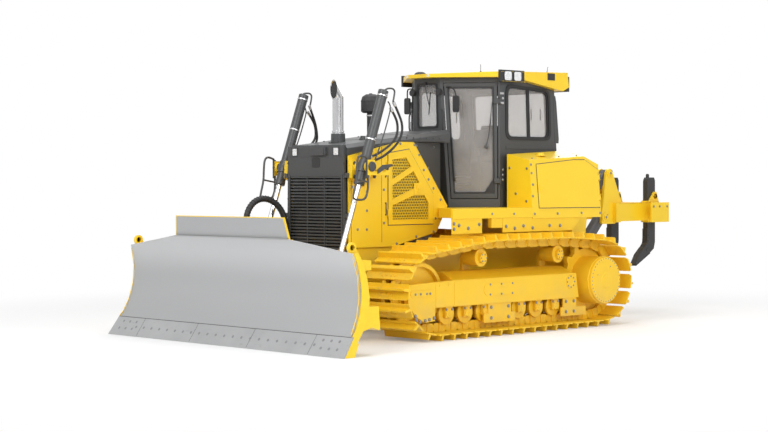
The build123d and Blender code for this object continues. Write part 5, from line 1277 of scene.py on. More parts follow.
class BULLDOZER_OT_front(bpy.types.Operator):
    """Adds the radiator core, grille frame, lamp bezels and bare badge plate"""

    bl_idname = "bulldozer.front"
    bl_label = "Front head"

    def execute(self, context):
        bolt = context.scene.bulldozer_sizes.bolt_head
        core = Forge()
        low, high, half = GRILLE_LOW.z, GRILLE_HIGH.z, GRILLE_HIGH.y
        core.box((2.058, -half, low), (2.068, half, high))
        fins = 72
        for i in range(fins):
            y = -half + 2 * half * (i + 0.5) / fins
            core.box((2.067, y - 0.0012, low), (2.078, y + 0.0012, high))
        for i in range(9):
            z = low + (high - low) * (i + 0.5) / 9
            core.box((2.067, -half, z - 0.006), (2.081, half, z + 0.006))
        core.finish("radiator_core", "chassis", "engine", 0.0)

        frame_bars = Forge()
        edge = HEAD_X
        for y in (-half, half):
            frame_bars.box((edge - 0.002, y - 0.012, low - 0.012), (edge + 0.006, y + 0.012, high + 0.012))
        for z in (low, high):
            frame_bars.box((edge - 0.002, -half, z - 0.010), (edge + 0.005, half, z + 0.010))
        step = (high - low) / GRILLE_SLATS
        for i in range(GRILLE_SLATS):
            z = low + step * (i + 0.5)
            frame_bars.box((edge - 0.012, 0.002 - half, z - 0.010), (edge - 0.004, half - 0.002, z + 0.010))
        for y in (-0.146, 0.159):
            frame_bars.box((edge - 0.014, y - 0.006, low), (edge + 0.001, y + 0.006, high))
        frame_bars.prism([(edge - 0.001, y, z) for y, z in ((-0.500, 2.150), (0.500, 2.150), (0.500, 2.156),
                (-0.500, 2.156))], (0.003, 0, 0))
        housing = [(-0.074, 2.180), (-0.060, 2.168), (0.200, 2.168), (0.215, 2.180), (0.200, 2.267),
                (-0.060, 2.267)]
        frame_bars.front_plate(housing, (edge - 0.001, edge + 0.028))
        frame_bars.front_plate([(y * 0.8 + 0.014, z) for y, z in housing[1:5]], (edge + 0.020, edge + 0.034))
        for y in (-0.371, 0.371):
            for dy in (-0.047, 0.047):
                frame_bars.box((edge - 0.001, y + dy - 0.005, 2.164), (edge + 0.007, y + dy + 0.005, 2.263))
            for z in (2.166, 2.261):
                frame_bars.box((edge - 0.001, y - 0.050, z - 0.005), (edge + 0.007, y + 0.050, z + 0.005))
        for y in (-0.505, 0.505):
            for z in (1.06, 1.35, 1.65, 1.90, 2.08):
                frame_bars.bolt((edge, y * 0.988, z), (1, 0, 0), bolt * 0.8)
        for sign in (-1, 1):
            for z in (1.929, 1.452):
                frame_bars.box((2.085, sign * 0.515, z - 0.027),
                        (2.134, sign * 0.562, z + 0.027))
                frame_bars.rod((2.128, sign * 0.566, z - 0.032), (2.128, sign * 0.566, z + 0.032), 0.009, 12)
        frame_bars.finish("head_trim", "chassis", "charcoal", 0.0012)

        badge = Forge()
        badge.front_plate([(-0.061, 2.040), (-0.045, 2.023), (0.067, 2.023), (0.083, 2.040), (0.083, 2.126),
                (0.067, 2.143), (-0.045, 2.143), (-0.061, 2.126)], (edge, edge + 0.003))
        badge.finish("bare_badge_plate", "chassis", "plastic", 0.001)

        lenses = Forge()
        for y in (-0.370, 0.370):
            for dz in (-0.020, 0.020):
                lenses.turned((edge + 0.0035, y, 2.2135 + dz), (1, 0, 0), ((0, 0.017), (0.003, 0.015),
                        (0.005, 0.009), (0.0055, 0.0)), 20)
        lenses.finish("lamp_lenses", "chassis", "lamp", 0.0)

        hood = Forge()
        for x in (0.62, 1.02, 1.60, 2.06):
            for y in (-0.44, 0.44):
                hood.bolt((x, y, hood_z(x)), (0.113, 0, 0.993), bolt * 0.8)
        for x in (0.82, 1.48):                      # seams across the hood
            hood.prism([(x - 0.003, -0.46, hood_z(x) - 0.001), (x + 0.003, -0.46, hood_z(x) - 0.001),
                    (x + 0.003, 0.46, hood_z(x) - 0.001), (x - 0.003, 0.46, hood_z(x) - 0.001)],
                    (0, 0, 0.003))
        hood.turned((1.425, 0.072, hood_z(1.425) - 0.002), (0, 0, 1),
                ((0, 0.045), (0.012, 0.043), (0.012, 0.030),
                (0.040, 0.028), (0.044, 0.024), (0.044, 0.0)), 24)
        for sign in (-1, 1):
            rail = [(2.020, 2.190), (1.293, 2.352), (0.470, 2.352)]
            for (xa, za), (xb, zb) in zip(rail, rail[1:]):
                hood.rod((xa, sign * 0.549, za), (xb, sign * 0.5485, zb), 0.004, 8)
            for i in range(7):
                x = 0.56 + i * 0.115
                hood.bolt((x, sign * 0.5435, 2.385), (0, sign, 0), bolt * 0.7)
        hood.finish("hood_fittings", "chassis", "charcoal", 0.001)

        stack = Forge()
        stack.turned((STACK_X, 0, 2.445), (0, 0, 1),
                ((0, 0.0675), (0.003, 0.074), (0.026, 0.074), (0.029, 0.0675)), 36)
        stack.rod((STACK_X, 0.070, 2.459), (STACK_X, 0.094, 2.459), 0.007, 10)
        stack.rod((1.700, -0.012, 2.480), (1.700, -0.012, 2.850), 0.003, 8)
        stack.finish("stack_clamp", "chassis", "stack", 0.001)
        mouth_shade, radius = Forge(), 0.0612              # a dark disc just inside its mouth: painted shade of the stack's open hollow
        centre = STACK_BEND_Z + (STACK_MOUTH_X - STACK_X) / math.tan(STACK_LEAN)
        mouth_shade.front_plate([(radius * math.cos(t), centre + radius / math.sin(STACK_LEAN) * math.sin(t))
                for t in (2 * math.pi * i / 40 for i in range(40))], (STACK_MOUTH_X - 0.003,
                STACK_MOUTH_X))
        mouth_shade.finish("stack_mouth_painted_shade", "chassis", "plastic", 0.0)
        base = Forge()
        base.turned((STACK_X, 0, 2.322), (0, 0, 1),
                ((0, 0.118), (0.006, 0.118), (0.012, 0.088), (0.106, 0.086), (0.114, 0.083)), 36)
        base.ring_of_bolts((STACK_X, 0, 2.330), (0, 0, 1), 0.103, 8, bolt * 0.7)
        base.finish("stack_collar", "chassis", "charcoal", 0.001)

        cleaner = Forge()
        cleaner.turned((CLEANER_X, 0, 2.655), (0, 0, 1),
                ((0, 0.050), (0.002, 0.055), (0.020, 0.055), (0.022, 0.050)), 32)
        cleaner.rod((CLEANER_X, 0.052, 2.666), (CLEANER_X, 0.078, 2.666), 0.006, 10)
        cleaner.finish("precleaner_clamp", "chassis", "zinc", 0.0006)
        bowl = Forge()
        for i in range(36):                         # the inlet's slots round the foot of the bowl
            t = 2 * math.pi * i / 36
            out = Vector((math.cos(t), math.sin(t), 0))
            side = Vector((-out.y, out.x, 0)) * 0.0035
            foot = Vector((CLEANER_X, 0, 2.722)) + out * 0.1175
            bowl.prism([foot - side, foot + side, foot + side + out * 0.0035, foot - side + out * 0.0035],
                    (0, 0, 0.105))
        for z, radius in ((2.716, 0.1225), (2.838, 0.1245)):
            bowl.turned((CLEANER_X, 0, z), (0, 0, 1), ((0, radius - 0.003), (0.002, radius), (0.008, radius),
                    (0.010, radius - 0.003)), 40)
        bowl.turned((CLEANER_X, 0, 2.929), (0, 0, 1),
                ((0, 0.022), (0.008, 0.020), (0.012, 0.012), (0.013, 0.0)), 20)
        bowl.finish("precleaner_ribs", "chassis", "plastic", 0.0008)
        return {"FINISHED"}


# ================================================================ cab
CAB_SIDE_Y = 0.785
DOOR_LOW = (1.5273, Vector((0.195, 0.330)))         # height and front corner of the door's wall
DOOR_HIGH = (3.160, Vector((0.241, 0.220)))
DOOR_END = Vector((-0.266, 0.785))
SIDE_WINDOW = ((-0.403, 2.400), (-1.215, 2.400), (-1.190, 3.010), (-0.403, 3.060))
HINGE_BOLTS = ((-0.326, 2.960), (-0.326, 2.899), (-0.326, 2.839), (-0.326, 1.998), (-0.326, 1.933),
        (-0.326, 1.872), (-0.290, 2.960), (-0.290, 2.839))


def door_wall(sign, share, z, out=0.0):
    """A point on the slanted door wall: share of its width from the front, height, distance outwards."""
    rise = (z - DOOR_LOW[0]) / (DOOR_HIGH[0] - DOOR_LOW[0])
    start = DOOR_LOW[1].lerp(DOOR_HIGH[1], rise)
    along = DOOR_END - start
    normal = Vector((-along.y, along.x)).normalized()
    if normal.x < 0:
        normal = -normal
    place = start + along * share + normal * out
    return Vector((place.x, sign * place.y, z))


def rounded_loop(corners, radius, steps=5):
    """A closed outline with its corners rounded, in two dimensions."""
    points = []
    for before, corner, after in zip(corners[-1:] + corners[:-1], corners, corners[1:] + corners[:1]):
        corner = Vector(corner)
        a = corner + (Vector(before) - corner).normalized() * radius
        b = corner + (Vector(after) - corner).normalized() * radius
        for i in range(steps + 1):
            t = i / steps
            points.append(a * (1 - t) ** 2 + corner * 2 * t * (1 - t) + b * t ** 2)
    return points


def gasket(forge, outer, inner, place, depth):
    """A flat rubber frame between two outlines, both with as many points, pushed along depth."""
    depth = Vector(depth)
    count = len(outer)
    for i in range(count):
        j = (i + 1) % count
        forge.prism([place(*outer[i]), place(*outer[j]), place(*inner[j]), place(*inner[i])], depth)


class BULLDOZER_OT_cab(bpy.types.Operator):
    """Adds the cab's seals, mirrors, wipers, lamps, handles, aerials and bolts"""

    bl_idname = "bulldozer.cab"
    bl_label = "Cab"

    def execute(self, context):
        bolt = context.scene.bulldozer_sizes.bolt_head
        self.side_windows(bolt)
        self.front_window()
        self.roof(bolt)
        for sign, side in SIDES:
            self.door(sign, side, bolt)
        self.mirrors()
        self.inside()
        return {"FINISHED"}

    def side_windows(self, bolt):
        seals, trim = Forge(), Forge()
        corners = [Vector(p) for p in SIDE_WINDOW]
        centre = sum(corners, Vector((0, 0))) / 4
        outer = rounded_loop([centre + (c - centre) * 1.075 for c in corners], 0.115)
        middle = rounded_loop([centre + (c - centre) * 0.985 for c in corners], 0.100)
        inner = rounded_loop([centre + (c - centre) * 0.930 for c in corners], 0.085)
        for sign in (-1, 1):
            gasket(seals, [tuple(p) for p in outer], [tuple(p) for p in middle],
                   lambda x, z: Vector((x, sign * (CAB_SIDE_Y - 0.002), z)), (0, sign * 0.012, 0))
            gasket(seals, [tuple(p) for p in middle], [tuple(p) for p in inner],
                   lambda x, z: Vector((x, sign * (CAB_SIDE_Y - 0.030), z)), (0, sign * 0.030, 0))
            for x in (-0.812, -0.842):              # the sliding pane's two stiles
                seals.prism([(x - 0.012, sign * 0.762, 2.40), (x + 0.012, sign * 0.762, 2.40),
                        (x + 0.034, sign * 0.762, 3.03), (x + 0.010, sign * 0.762, 3.03)],
                        (0, sign * 0.016, 0))
            for x in (-0.900, -1.080):              # the pane's catch
                seals.rod((x, sign * 0.750, 2.640), (x, sign * 0.750, 2.780), 0.009, 10)
        seals.finish("window_seals", "chassis", "rubber", 0.001)
        for x, z in HINGE_BOLTS:
            trim.turned((x, CAB_SIDE_Y, z), (0, 1, 0), ((0, 0.017), (0.003, 0.016), (0.003, 0.0)), 14)
            trim.bolt((x, CAB_SIDE_Y + 0.002, z), (0, 1, 0), bolt * 0.8)
        trim.mirror()
        trim.finish("cab_wall_bolts", "chassis", "zinc", 0.0006)
        walls = Forge()
        sill = [(-0.380, 2.300), (-1.340, 2.300), (-1.352, 2.262), (-0.380, 2.262)]
        walls.side_plate(sill, (CAB_SIDE_Y - 0.001, CAB_SIDE_Y + 0.008))
        post = [(-1.322, 2.345), (-1.395, 2.345), (-1.402, 2.400), (-1.352, 2.880), (-1.330, 2.960),
                (-1.290, 2.960)]
        walls.side_plate(post, (CAB_SIDE_Y - 0.060, CAB_SIDE_Y + 0.003))
        step = [(-0.290, 1.776), (-0.324, 1.739), (-0.330, 1.547), (-0.290, 1.547)]
        walls.side_plate(step, (0.784, 0.792))
        walls.mirror()
        walls.finish("cab_wall_trim", "chassis", "charcoal", 0.002)

    def front_window(self):
        seals = Forge()
        outer = rounded_loop([(-0.186, 2.528), (0.186, 2.528), (0.186, 3.102), (-0.186, 3.102)], 0.05)
        inner = rounded_loop([(-0.160, 2.556), (0.160, 2.556), (0.160, 3.074), (-0.160, 3.074)], 0.04)
        gasket(seals, [tuple(p) for p in outer], [tuple(p) for p in inner],
               lambda y, z: Vector((0.224 + (z - 2.528) * 0.028, y, z)), (0.007, 0, 0))
        arm = [(0.262, -0.020, 3.085), (0.266, 0.020, 2.960), (0.262, 0.060, 2.820)]
        seals.pipe(smooth_line(arm), 0.006, 8)
        seals.prism([(0.250, 0.045, 2.700), (0.250, 0.053, 2.700), (0.252, 0.085, 2.985),
                (0.252, 0.077, 2.985)], (0.012, 0, 0))
        seals.turned((0.245, -0.020, 3.090), (1, 0, 0),
                ((0, 0.024), (0.016, 0.022), (0.020, 0.016), (0.020, 0.0)), 16)
        rear_outer = rounded_loop([(-0.655, 2.285), (0.655, 2.285), (0.655, 3.030), (-0.655, 3.030)], 0.08)
        rear_inner = rounded_loop([(-0.622, 2.320), (0.622, 2.320), (0.622, 2.996), (-0.622, 2.996)], 0.06)
        gasket(seals, [tuple(p) for p in rear_outer], [tuple(p) for p in rear_inner],
               lambda y, z: Vector((-1.400 + 0.094 * (z - 1.527) / 1.633, y, z)), (0.030, 0, 0))
        seals.finish("window_frames", "chassis", "rubber", 0.001)

    def door(self, sign, side, bolt):
        body = "cab_door_" + side
        seals = Forge()
        low, high, front, rear = 1.700, 3.045, 0.125, 0.900
        corners = [(front, low), (rear - 0.16, low), (rear, low + 0.16), (rear, high), (front, high)]
        outer = rounded_loop(corners, 0.018, 4)
        centre = Vector(((front + rear) / 2, (low + high) / 2))
        def shrink(point):
            """A point moved towards the pane's middle by the seal's width."""
            return (point[0] + math.copysign(0.026, centre.x - point[0]),
                    point[1] + math.copysign(0.020, centre.y - point[1]))
        inner = [shrink(p) for p in outer]
        normal = (door_wall(sign, 0.5, 2.4, 1.0) - door_wall(sign, 0.5, 2.4)).normalized()
        gasket(seals, [tuple(p) for p in outer], inner,
               lambda share, z: door_wall(sign, share, z, -0.010), normal * 0.013)
        corner = [(rear - 0.002, low), (rear - 0.18, low), (rear - 0.002, low + 0.18)]
        seals.prism([door_wall(sign, share, z, -0.012) for share, z in corner], normal * 0.012)
        seals.finish("door_seals_" + side, body, "rubber", 0.001)
        parts = Forge()
        grip = [door_wall(sign, 0.155, z, out) for z, out in ((1.860, 0.004), (1.880, 0.042), (1.960, 0.048),
                (2.300, 0.048), (2.380, 0.042), (2.400, 0.004))]
        parts.pipe(smooth_line(grip), 0.0105, 10)
        lock = [door_wall(sign, share, z, 0.0) for share,
                z in ((0.075, 1.960), (0.115, 1.960), (0.115, 2.080), (0.075, 2.080))]
        parts.prism(lock, normal * 0.014)
        parts.bolt(door_wall(sign, 0.095, 2.020, 0.013), normal, 0.011)
        arm = [door_wall(sign, share, z, 0.018) for share,
               z in ((0.760, 2.300), (0.815, 2.440), (0.850, 2.640))]
        parts.pipe(smooth_line(arm), 0.006, 8)
        blade = [door_wall(sign, share, z, 0.006) for share,
                z in ((0.795, 2.420), (0.810, 2.418), (0.880, 2.850), (0.866, 2.852))]
        parts.prism(blade, normal * 0.012)
        parts.turned(door_wall(sign, 0.760, 2.290, 0.000), normal,
                ((0, 0.026), (0.018, 0.024), (0.022, 0.016), (0.022, 0.0)), 16)
        for z in (1.860, 2.860):
            for share in (0.900, 0.930):
                parts.bolt(door_wall(sign, share, z, 0.026), normal, bolt * 0.7)
        for z in (1.660, 3.070):
            for share in (0.15, 0.35, 0.55, 0.75, 0.90):
                parts.bolt(door_wall(sign, share, z, 0.0), normal, bolt * 0.5)
        parts.finish("door_fittings_" + side, body, "charcoal", 0.0008)
        sill = Forge()
        for share in (0.10, 0.26, 0.42, 0.58, 0.74, 0.90):
            sill.bolt(door_wall(sign, share, 1.580, 0.0), normal, bolt * 0.55)
        edge = [(0.01, 1.532), (0.99, 1.532), (0.99, 1.546), (0.01, 1.546)]
        sill.prism([door_wall(sign, share, z, -0.001) for share, z in edge], normal * 0.010)
        for z in (1.860, 2.860):
            place = door_wall(sign, 1.0, z)
            sill.bolt((place.x + 0.015, place.y + sign * 0.015, z + 0.041), (0, 0, 1), 0.010)
        sill.finish("door_sill_" + side, "chassis", "charcoal", 0.001)

    def roof(self, bolt):
        """Work lamps, beacon, vents, aerials and the box behind the roof."""
        yellow, dark, lens, amber = Forge(), Forge(), Forge(), Forge()
        for sign in (-1, 1):
            dark.box((-0.622, sign * 0.852, 3.104),
                    (-0.168, sign * 0.884, 3.250))
            for x in (-0.309, -0.489):
                tray = rounded_loop([(x - 0.074, 3.112), (x + 0.074, 3.112), (x + 0.074, 3.240),
                        (x - 0.074, 3.240)], 0.03, 4)
                lens_line = [(x + (p.x - x) * 0.86, 3.176 + (p.y - 3.176) * 0.86) for p in tray]
                dark.prism([(p.x, sign * 0.880, p.y) for p in tray], (0, sign * 0.010, 0))
                lens.prism([(p[0], sign * 0.889, p[1]) for p in lens_line], (0, sign * 0.004, 0))
                for dx, dz in ((-0.030, -0.026), (0.030, -0.026), (-0.030, 0.026), (0.030, 0.026)):
                    lens.turned((x + dx, sign * 0.892, 3.176 + dz), (0, sign, 0), ((0, 0.019), (0.003, 0.016),
                            (0.005, 0.008), (0.0055, 0.0)), 16)
            dark.box((-1.212, sign * 0.874, 3.150),
                    (-1.072, sign * 0.886, 3.238))
            dark.box((-1.180, sign * 0.880, 3.165),
                    (-1.104, sign * 0.893, 3.222))
            amber.box((-1.4995, sign * 0.760, 3.075),
                    (-1.480, sign * 0.850, 3.160))
            for x in (0.10, -0.10):
                yellow.bolt((x, sign * 0.3, 3.2145), (0, 0, 1), bolt * 0.7)
            yellow.rod((-0.200, sign * 0.8805, 3.108), (-0.640, sign * 0.8805, 3.108), 0.004, 8)
        dark.box((-1.575, -0.820, 3.020), (-1.499, 0.820, 3.215))
        for i in range(9):
            z = 3.040 + i * 0.019
            dark.box((-1.582, -0.700, z), (-1.573, 0.700, z + 0.008))
        for y, x in ((0.18, 0.36), (-0.18, 0.36)):
            lens.turned((x + 0.046, y, 3.183), (1, 0, 0), ((0, 0.020), (0.004, 0.017), (0.005, 0.0)), 18)
        dark.turned((0.300, -0.060, 3.2080), (0, 0, 1),
                ((0, 0.075), (0.010, 0.073), (0.024, 0.060), (0.034, 0.035), (0.037, 0.0)), 28)
        for x, y, top, tilt in ((-0.330, 0.400, 3.345, 0.0), (-1.430, 0.560, 3.352, -0.020)):
            z = 3.236 - 0.0262 * (x + 0.44)
            dark.turned((x, y, z), (0, 0, 1), ((0, 0.020), (0.010, 0.018), (0.026, 0.009), (0.026, 0.0)), 16)
            dark.rod((x, y, z + 0.02), (x + tilt, y, top), 0.0035, 8)
        for x in (-0.30, -0.62, -0.94, -1.26):
            for sign in (-1, 1):
                z = 3.236 - 0.0262 * (x + 0.44)
                yellow.bolt((x, sign * 0.80, z), (0, 0, 1), bolt * 0.7)
        hatch = rounded_loop([(-0.50, -0.40), (-1.10, -0.40), (-1.10, 0.40), (-0.50, 0.40)], 0.06, 4)
        yellow.prism([(p.x, p.y, 3.236 - 0.0262 * (p.x + 0.44)) for p in hatch], (0, 0, 0.012))
        rim = [(-0.19, 0.8795), (-1.47, 0.8795)]
        yellow.rod((rim[0][0], rim[0][1], 3.226), (rim[1][0], rim[1][1], 3.256), 0.005, 8)
        yellow.rod((rim[0][0], -rim[0][1], 3.226), (rim[1][0], -rim[1][1], 3.256), 0.005, 8)
        yellow.finish("roof_trim", "chassis", "yellow", 0.0015)
        dark.finish("roof_fittings", "chassis", "plastic", 0.0015)
        lens.finish("work_lamp_lenses", "chassis", "lamp", 0.0)
        amber.finish("beacon_lenses", "chassis", "amber", 0.002)

    def mirrors(self):
        """Front and rear mirrors on bent arms, and the grab rails beside the doors."""
        dark = Forge()
        for sign in (-1, 1):
            arm = [(0.190, sign * 0.300, 3.040), (0.200, sign * 0.380, 3.050), (0.170, sign * 0.430, 3.000),
                   (0.160, sign * 0.435, 2.900)]
            dark.pipe(smooth_line(arm), 0.009, 10)
            face = rounded_loop([(sign * 0.385, 2.720), (sign * 0.485, 2.720), (sign * 0.485, 2.930),
                    (sign * 0.385, 2.930)], 0.03, 4)
            dark.prism([(0.150, p.x, p.y) for p in face], (0.022, 0, 0))
            rail = [(0.234, sign * 0.290, 2.470), (0.262, sign * 0.300, 2.500), (0.262, sign * 0.300, 2.600),
                    (0.262, sign * 0.300, 2.720), (0.240, sign * 0.262, 2.760)]
            dark.pipe(smooth_line(rail), 0.010, 10)
            lamp = Vector((0.262, sign * 0.235, 2.985))
            dark.turned(lamp - Vector((0.035, 0, 0)), (1, 0, 0), ((0, 0.020), (0.012, 0.038), (0.050, 0.044),
                    (0.056, 0.042), (0.056, 0.0)), 24)
        dark.finish("mirrors_and_rails", "chassis", "plastic", 0.001)

    def inside(self):
        """Levers and screen on the consoles, head lining, and the padded seat."""
        dark = Forge()
        for sign in (-1, 1):
            dark.rod((-0.330, sign * 0.380, 2.095), (-0.320, sign * 0.380, 2.180), 0.012, 12)
            dark.turned((-0.322, sign * 0.380, 2.165), (0.1, 0, 1),
                    ((0, 0.016), (0.015, 0.030), (0.075, 0.034), (0.105, 0.024), (0.112, 0.0)), 20)
            pad = rounded_loop([(-0.840, sign * 0.320), (-0.450, sign * 0.320), (-0.450, sign * 0.440),
                    (-0.840, sign * 0.440)], 0.03, 4)
            dark.prism([(p.x, p.y, 2.100) for p in pad], (0, 0, 0.045))
        dark.prism([(0.020, -0.130, 2.330), (0.060, -0.130, 2.480), (0.060, 0.130, 2.480),
                (0.020, 0.130, 2.330)], (-0.030, 0, 0.006))
        dark.finish("console_levers", "chassis", "plastic", 0.003)
        self.cushion("seat_base", (-0.555, 0, 1.865), (0.250, 0.255, 0.066), 0.0)
        self.cushion("seat_back", (-0.868, 0, 2.220), (0.058, 0.235, 0.315), -0.150)
        self.cushion("seat_headrest", (-0.930, 0, 2.500), (0.045, 0.140, 0.085), -0.150)
        post = Forge()
        post.box((-0.760, -0.190, 1.570), (-0.400, 0.190, 1.620))
        for i in range(6):                          # the bellows of the suspension
            z = 1.620 + i * 0.030
            ring = rounded_loop([(-0.740, -0.170), (-0.420, -0.170), (-0.420, 0.170), (-0.740, 0.170)],
                    0.04, 3)
            wide = [(-0.580 + (p.x + 0.580) * 1.09, p.y * 1.09) for p in ring]
            post.prism([(p[0], p[1], z) for p in wide], (0, 0, 0.015))
            post.prism([(p.x, p.y, z + 0.015) for p in ring], (0, 0, 0.015))
        for sign in (-1, 1):
            post.rod((-0.905, sign * 0.050, 2.380), (-0.930, sign * 0.050, 2.480), 0.008, 10)
        post.finish("seat_suspension", "chassis", "plastic", 0.002)

    @staticmethod
    def cushion(name, centre, half, lean):
        """A crowned pad with pulled-in sides and two sewn channels, as a subdivided cage."""
        cage = bmesh.new()
        bmesh.ops.create_cube(cage, size=2.0)
        bmesh.ops.subdivide_edges(cage, edges=cage.edges[:], cuts=9, use_grid_fill=True)
        thin = min(range(3), key=lambda i: half[i])
        wide = [i for i in range(3) if i != thin]
        turn = Matrix.Rotation(lean, 4, "Y")
        for v in cage.verts:
            u, w = v.co[wide[0]], v.co[wide[1]]
            crown = (1 - abs(u) ** 3.2) * (1 - abs(w) ** 3.2)
            channel = math.exp(-((abs(v.co.y) - 0.58) / 0.045) ** 2)
            point = Vector(v.co)
            point[thin] *= (0.62 + 0.38 * crown) * (1 - 0.16 * channel)
            pull = 1 - 0.05 * (1 - abs(v.co[thin])) * max(abs(u), abs(w)) ** 6
            for i in wide:
                point[i] *= pull
            v.co = Vector(centre) + turn @ Vector(point[i] * half[i] for i in range(3))
        data = bpy.data.meshes.new(name)
        cage.to_mesh(data)
        cage.free()
        pad = bpy.data.objects.new(name, data)
        bpy.context.scene.collection.objects.link(pad)
        data.materials.append(FINISHES["cloth"])
        for polygon in data.polygons:
            polygon.use_smooth = True
        rounding = pad.modifiers.new("rounding", "SUBSURF")
        rounding.levels = rounding.render_levels = 1
        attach(pad, "chassis")
        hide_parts("seat")


# ================================================================ tanks
TANK_TOP_FALL = 0.22
HATCH_LINE = ((-0.427, 2.066), (-1.167, 2.127), (-1.367, 2.128), (-1.626, 2.003), (-1.626, 1.513),
        (-0.434, 1.519))


def tank_y(z):
    """The tank's outer face at a height."""
    return 1.300 - (z - 1.390) * (0.060 / 0.722)


class BULLDOZER_OT_tanks(bpy.types.Operator):
    """Adds the tanks' bolts, latches, filler caps and seams"""

    bl_idname = "bulldozer.tanks"
    bl_label = "Tanks"

    def execute(self, context):
        bolt = context.scene.bulldozer_sizes.bolt_head
        plates, heads = Forge(), Forge()
        out = Vector((0, 0.9966, 0.0828))
        for x, z in ((-0.335, 2.060), (-0.335, 1.954), (-0.349, 1.811), (-0.335, 1.668), (-0.349, 1.448),
                (-0.783, 1.447), (-1.249, 1.447), (-1.620, 1.441)):
            heads.bolt((x, tank_y(z), z), out, bolt)
        for y, z in ((1.009, 1.699), (1.185, 1.604), (0.905, 2.020), (1.195, 2.010)):
            heads.bolt((-0.315, y, z), (1, 0, 0), bolt)
        plates.rod((-0.318, tank_y(1.395) - 0.003, 1.395), (-0.318, tank_y(2.110) - 0.003, 2.110), 0.005, 8)
        cap = Vector((-0.700, 1.080, 2.1170 + (-0.315 + 0.700) * 0.0514 + 0.0352 * 1.02))
        plates.turned(cap, (0, 0, 1), ((0, 0.062), (0.010, 0.060), (0.014, 0.048), (0.034, 0.046),
                (0.038, 0.040), (0.038, 0.0)), 28)
        for x in (-0.44, -0.95, -1.30):
            z = 2.116 + (-0.315 - x) * 0.0514 + (1.240 - 1.170) * TANK_TOP_FALL
            heads.bolt((x, 1.170, z), (0, 0.215, 0.977), bolt * 0.9)
        plates.mirror()
        plates.finish("tank_fittings", "chassis", "yellow", 0.001)
        seams = Forge()
        seam(seams, HATCH_LINE, lambda x, z: Vector((x, tank_y(z) + 0.0002, z)), (0, 0.0020, 0), 0.004)
        seams.mirror()
        seams.finish("hatch_seams", "chassis", "link", 0.0)
        for sign, side in SIDES:
            latch = Forge()
            face = 0.0146
            corners = ((-0.440, 1.714), (-0.560, 1.714), (-0.560, 1.811), (-0.440, 1.811))
            latch.prism([(x, sign * (tank_y(z) + face - 0.001), z) for x, z in corners], (0, sign * 0.004, 0))
            inner = ((-0.462, 1.732), (-0.538, 1.732), (-0.538, 1.793), (-0.462, 1.793))
            latch.prism([(x, sign * (tank_y(z) + face + 0.002), z) for x, z in inner], (0, sign * 0.007, 0))
            latch.rod((-0.500, sign * (tank_y(1.762) + face + 0.007), 1.744),
                    (-0.500, sign * (tank_y(1.762) + face + 0.007), 1.781), 0.006, 10)
            plate = ((-0.595, 1.838), (-0.635, 1.838), (-0.635, 1.880), (-0.595, 1.880))
            latch.prism([(x, sign * (tank_y(z) + face - 0.001), z) for x, z in plate], (0, sign * 0.003, 0))
            frame_line = [(-0.470, 1.550), (-1.590, 1.545), (-1.590, 1.985), (-1.360, 2.096), (-1.170, 2.096),
                    (-0.462, 2.036)]
            for (xa, za), (xb, zb) in zip(frame_line, frame_line[1:] + frame_line[:1]):
                latch.rod((xa, sign * (tank_y(za) + face - 0.0025), za),
                        (xb, sign * (tank_y(zb) + face - 0.0025), zb), 0.0035, 6)
            latch.finish("hatch_latch_" + side, "hatch_" + side, "yellow", 0.001)
        rear = Forge()
        for y in (0.18, 0.35, 0.70):
            for z in (1.60, 1.98):
                heads.bolt((-1.645, y, z), (-1, 0, 0), bolt)
        rear.box((-1.653, -0.300, 1.720), (-1.644, 0.300, 1.900))
        for i in range(6):
            rear.box((-1.659, -0.270, 1.742 + i * 0.024), (-1.652, 0.270, 1.750 + i * 0.024))
        rear.finish("rear_tank_grille", "chassis", "yellow", 0.001)
        heads.mirror()
        heads.finish("tank_bolts", "chassis", "bolt", 0.001)
        return {"FINISHED"}


# ================================================================ ripper
SHANKS_Y = (-0.641, 0.0, 0.641)
SHANK_PIN = (-3.556, 1.639)                         # x, z
LINK_PINS = ((-2.627, 1.958, 0.062), (-2.530, 1.363, 0.070))       # x, z and radius of the boss


